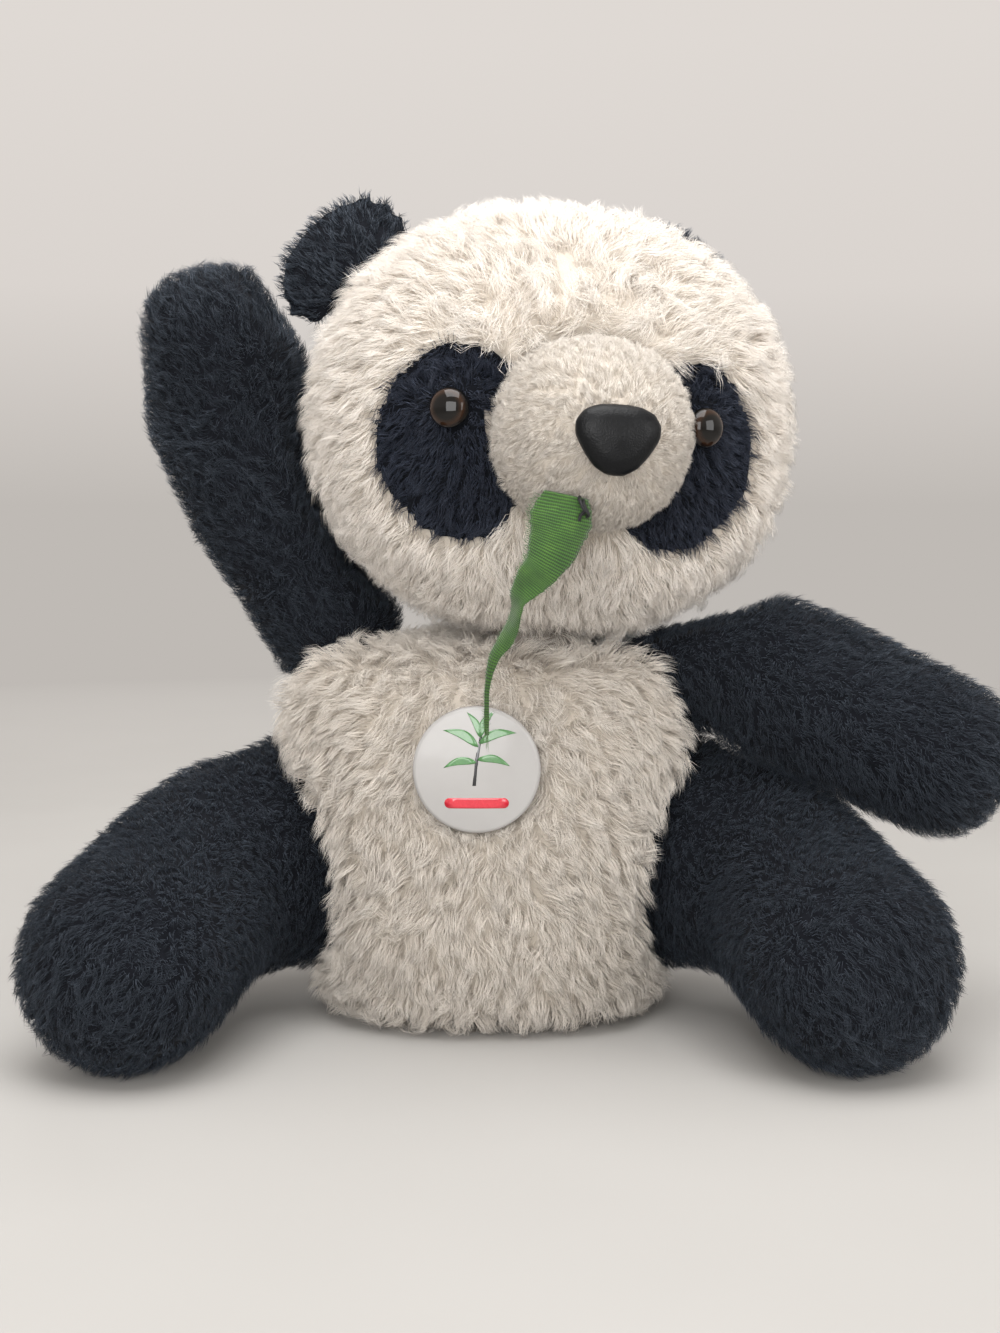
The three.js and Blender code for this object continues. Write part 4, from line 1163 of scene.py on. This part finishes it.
def on_badge(name, outlines, mat, lift=0.05):
    """Flat printed shapes that lie on the badge's dome: each outline is points in mm from the middle."""
    verts, faces = [], []
    for o in outlines:
        o = np.array(o, float) * 1.6 + np.array([0.0, 0.5])
        mid = o.mean(0)
        rings = [o, mid + (o - mid) * 0.66, mid + (o - mid) * 0.33, mid[None]]
        ids = []
        for ring in rings:
            ids.append(list(range(len(verts), len(verts) + len(ring))))
            for x, z in ring:
                r = math.hypot(x, z) * MM
                y = face_y + dome_y(r) - lift * MM
                verts.append((BADGE_AT[0] + x * MM, y, BADGE_AT[2] + z * MM))
        k = len(o)
        for a, b in ((0, 1), (1, 2)):
            faces += [[ids[a][i], ids[a][(i + 1) % k], ids[b][(i + 1) % k], ids[b][i]] for i in range(k)]
        faces += [[ids[2][i], ids[2][(i + 1) % k], ids[3][0]] for i in range(k)]
    return thickened(made(name, verts, faces, mat), 0.04 * MM, 0)


def blade(x, z, turn, size, fat=0.24, bend=0.12):
    """A bamboo leaf's outline from its stalk at (x, z)."""
    t = np.linspace(0, 1, 15)
    w = fat * size * np.sin(math.pi * t**0.75) ** 0.9 / 2
    mid = bend * size * np.sin(math.pi * t)
    pts = [(a * size, m + h) for a, m, h in zip(t, mid, w)]
    pts += [(a * size, m - h) for a, m, h in list(zip(t, mid, w))[-2:0:-1]]
    cos, sin = math.cos(math.radians(turn)), math.sin(math.radians(turn))
    return [(x + cos * a - sin * b, z + sin * a + cos * b) for a, b in pts]


def bar(half, r, z):
    """A bar's outline with round ends, points all along it."""
    def end(x, start):
        return [(x + r * math.cos(a), z + r * math.sin(a)) for a in np.linspace(start, start + math.pi, 12)]

    def edge(start, y):
        return [(x, y) for x in np.linspace(start, -start, 16)[1:-1]]

    return end(half, -math.pi / 2) + edge(half, z + r) + end(-half, math.pi / 2) + edge(-half, z - r)


GREEN_INK = ink("green_print", (0.05, 0.16, 0.05), (0.07, 0.20, 0.06))
DARK_INK = ink("dark_print", (0.012, 0.012, 0.014), (0.02, 0.02, 0.022))
RED_INK = ink("red_print", (0.50, 0.02, 0.035), (0.58, 0.03, 0.05))
stalk = [(-1.2, -4.5), (-0.2, -4.5), (0.5, 3), (1.6, 9.5), (0.9, 9.7), (-0.4, 3)]
ART = [
    on_badge("badge_print_stalk", [stalk], DARK_INK),
    on_badge("badge_print_leaves", [
        blade(0.9, 9.0, 60, 9), blade(0.6, 7.5, 15, 11), blade(0.5, 6.5, 155, 11, bend=-0.12),
        blade(0.1, 3.0, -12, 9.5), blade(0, 2.2, 190, 9.5, bend=-0.12), blade(1.0, 9.2, 118, 8, bend=-0.1),
    ], GREEN_INK),
    on_badge("badge_print_bar", [bar(7.6, 1.5, -9.5)], RED_INK),
]

# ---------------------------------------------------------------- filling inside


FILLING_SCALE = {"neck": (0.8, 0.8, 1), "ear_right": (0.7, 0.7, 0.7), "ear_left": (0.7, 0.7, 0.7)}


def filling(part):
    """The fibre inside a body, clear of its skin."""
    node = part + "_stuffing"
    me = joined(part + "_filling", [node], 0.003 if part.startswith("ear") else 0.005)
    co, tris = points(me), triangles(me)
    lump = swell(0.02, len(part))(co)[:, 0]
    co = co - normals(co, tris) * (1.2 + 0.9 * np.clip(lump, -1, 1))[:, None] * MM
    if part in FILLING_SCALE:
        co = co.mean(0) + (co - co.mean(0)) * np.array(FILLING_SCALE[part])
    elif part in SKIN:
        cover = tree(SKIN[part].data)
        for _ in range(6):
            short = np.clip(2.5 * MM - depth_in(cover, co), 0, 3 * MM)
            co = co - normals(co, tris) * short[:, None]
    reshape(me, co)
    shade_smooth(me)
    # painted shade: the neck filling gets the darkened neck cloth instead of fibre
    dress(me, NECK_SHADE_CLOTH if part == "neck" else FIBRE)
    ob = link(part + "_filling", me)
    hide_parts(node)
    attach(ob, part)


for part in ("torso", "head", "neck", "tail", *(f"{p}_{s}" for p in ("arm", "leg", "ear") for s in SIDES)):
    filling(part)

# ---------------------------------------------------------------- what rides on what

for part, (panels, _, _) in PARTS.items():
    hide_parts(*panels)

# A point on each limb's own line, past its joint; below, each limb's skin and pile only have their transforms
# baked in.
UPPER_ARM = {"right": (-0.100, 0.019, 0.232), "left": (0.118, -0.013, 0.176)}
THIGH = {s: (x * 0.137, -0.032, 0.068) for s, x in SIDES.items()}
for s in SIDES:
    for part, joint, to in ((f"arm_{s}", f"shoulder_{s}", UPPER_ARM[s]), (f"leg_{s}", f"hip_{s}", THIGH[s])):
        for ob in (SKIN[part], *FUR[part]):
            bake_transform(ob)
for part in ("torso", "head", "ear_right", "ear_left", "tail"):
    for ob in (SKIN[part], *FUR[part]):
        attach(ob, part)

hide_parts("muzzle_skin")
for ob in (SKIN["muzzle"], *FUR["muzzle"]):
    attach(ob, "head")
for s in SIDES:
    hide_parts(f"eye_patch_{s}")
    for ob in (PATCHES[s], *FUR[f"patch_{s}"]):
        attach(ob, "head")
    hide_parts(f"eye_{s}")
    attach(EYE_OBJ[s], "head")
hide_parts("nose")
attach(NOSE, "head")
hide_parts("mouth_stitch")
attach(STITCH, "head")

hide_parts("leaf")
for ob in (LEAF, FRINGE):
    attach(ob, "leaf")
me = LEAF.data
me.calc_loop_triangles()

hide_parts("badge_film", "badge_print")
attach(BADGE, "badge")
for ob in ART:
    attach(ob, "badge")

KEPT = {
    "eye_right_washer": POST_MAT, "eye_left_washer": POST_MAT, "nose_washer": WASHER_MAT,
    "badge_shell": TIN, "badge_back_plate": TIN, "badge_pin": WIRE, "closing_stitches": WHITE_THREAD,
}
for node, mat in KEPT.items():
    me = frame["nodes"][node].data
    if mat is WHITE_THREAD and "OFBake" not in me.uv_layers:
        mat = moulded("white_thread_plain", (0.6, 0.58, 0.54), (0.8, 0.78, 0.74), 0.7)
    dress(me, mat)

# ---------------------------------------------------------------- floor and light


HORIZON = (0.521, 0.491, 0.462)


def floor():
    """A flat round floor whose far edge fades into the horizon's colour: there it glows with that colour, as
    painted light.
    """
    sides, radii = 72, (0.25, 0.5, 1.0, 1.6, 2.2, 3.2)
    verts = [(0, 0, 0)]
    verts += [(r * math.cos(2 * math.pi * j / sides), r * math.sin(2 * math.pi * j / sides), 0)
              for r in radii for j in range(sides)]
    faces = [[0, 1 + j, 1 + (j + 1) % sides] for j in range(sides)]
    for k in range(len(radii) - 1):
        p, q = 1 + k * sides, 1 + (k + 1) * sides
        faces += [[p + j, q + j, q + (j + 1) % sides, p + (j + 1) % sides] for j in range(sides)]
    m = Mat("pale_floor", (0.4, 0.39, 0.375), Roughness=0.85, Emission_Strength=1.0)
    m.b.inputs["Specular IOR Level"].default_value = 0.0
    far = m.node("VectorMath", 1, {"operation": "LENGTH"}, i0=m.where())
    span = m.node("MapRange", i0=far, i1=0.6, i2=1.7)
    paper = m.ramp(m.noise(2.5, 3.0), (0.3, (0.385, 0.374, 0.358)), (0.7, (0.41, 0.399, 0.383)))
    # painted light: from 0.6 m to 1.7 m the floor's own colour fades out and a glow in the horizon's colour
    # fades in
    m.to("Base Color", m.mix(span, paper, (0, 0, 0)))
    m.to("Emission Color", m.mix(span, (0, 0, 0), HORIZON))
    made("floor", verts, faces, m.m)


floor()


def area_light(name, at, to, size, power, colour=(1, 1, 1)):
    data = bpy.data.lights.new(name, "AREA")
    data.shape, data.size, data.energy, data.color = "SQUARE", size, power, colour
    ob = bpy.data.objects.new(name, data)
    SCENE.collection.objects.link(ob)
    ob.visible_camera = False
    ob.location = at
    ob.rotation_euler = (Vector(to) - Vector(at)).to_track_quat("-Z", "Y").to_euler()


area_light("top", (0.0, -0.35, 1.35), (0.0, 0.0, 0.15), 1.1, 20)
area_light("front", (-0.3, -1.7, 0.45), (0.0, 0.0, 0.2), 1.2, 24)
area_light("side", (1.3, -1.0, 0.5), (0.0, 0.0, 0.2), 0.9, 10)
area_light("back", (-0.4, 1.7, 0.8), (0.0, 0.0, 0.2), 1.2, 12)
world = bpy.data.worlds.new("world")
SCENE.world = world
world.use_nodes = True
sky = world.node_tree
height = sky.nodes.new("ShaderNodeSeparateXYZ")
sky.links.new(sky.nodes.new("ShaderNodeTexCoord").outputs["Generated"], height.inputs[0])
fade = sky.nodes.new("ShaderNodeValToRGB")
stops = [(0.0, HORIZON), (0.12, (0.701, 0.658, 0.624)), (0.25, (0.737, 0.694, 0.658)),
         (1.0, (0.74, 0.70, 0.67))]
while len(fade.color_ramp.elements) < len(stops):
    fade.color_ramp.elements.new(0.5)
for el, (at, c) in zip(fade.color_ramp.elements, stops):
    el.position, el.color = at, (*c, 1)
sky.links.new(height.outputs[2], fade.inputs[0])
sky.links.new(fade.outputs[0], sky.nodes["Background"].inputs[0])
SCENE.view_settings.view_transform = "Standard"
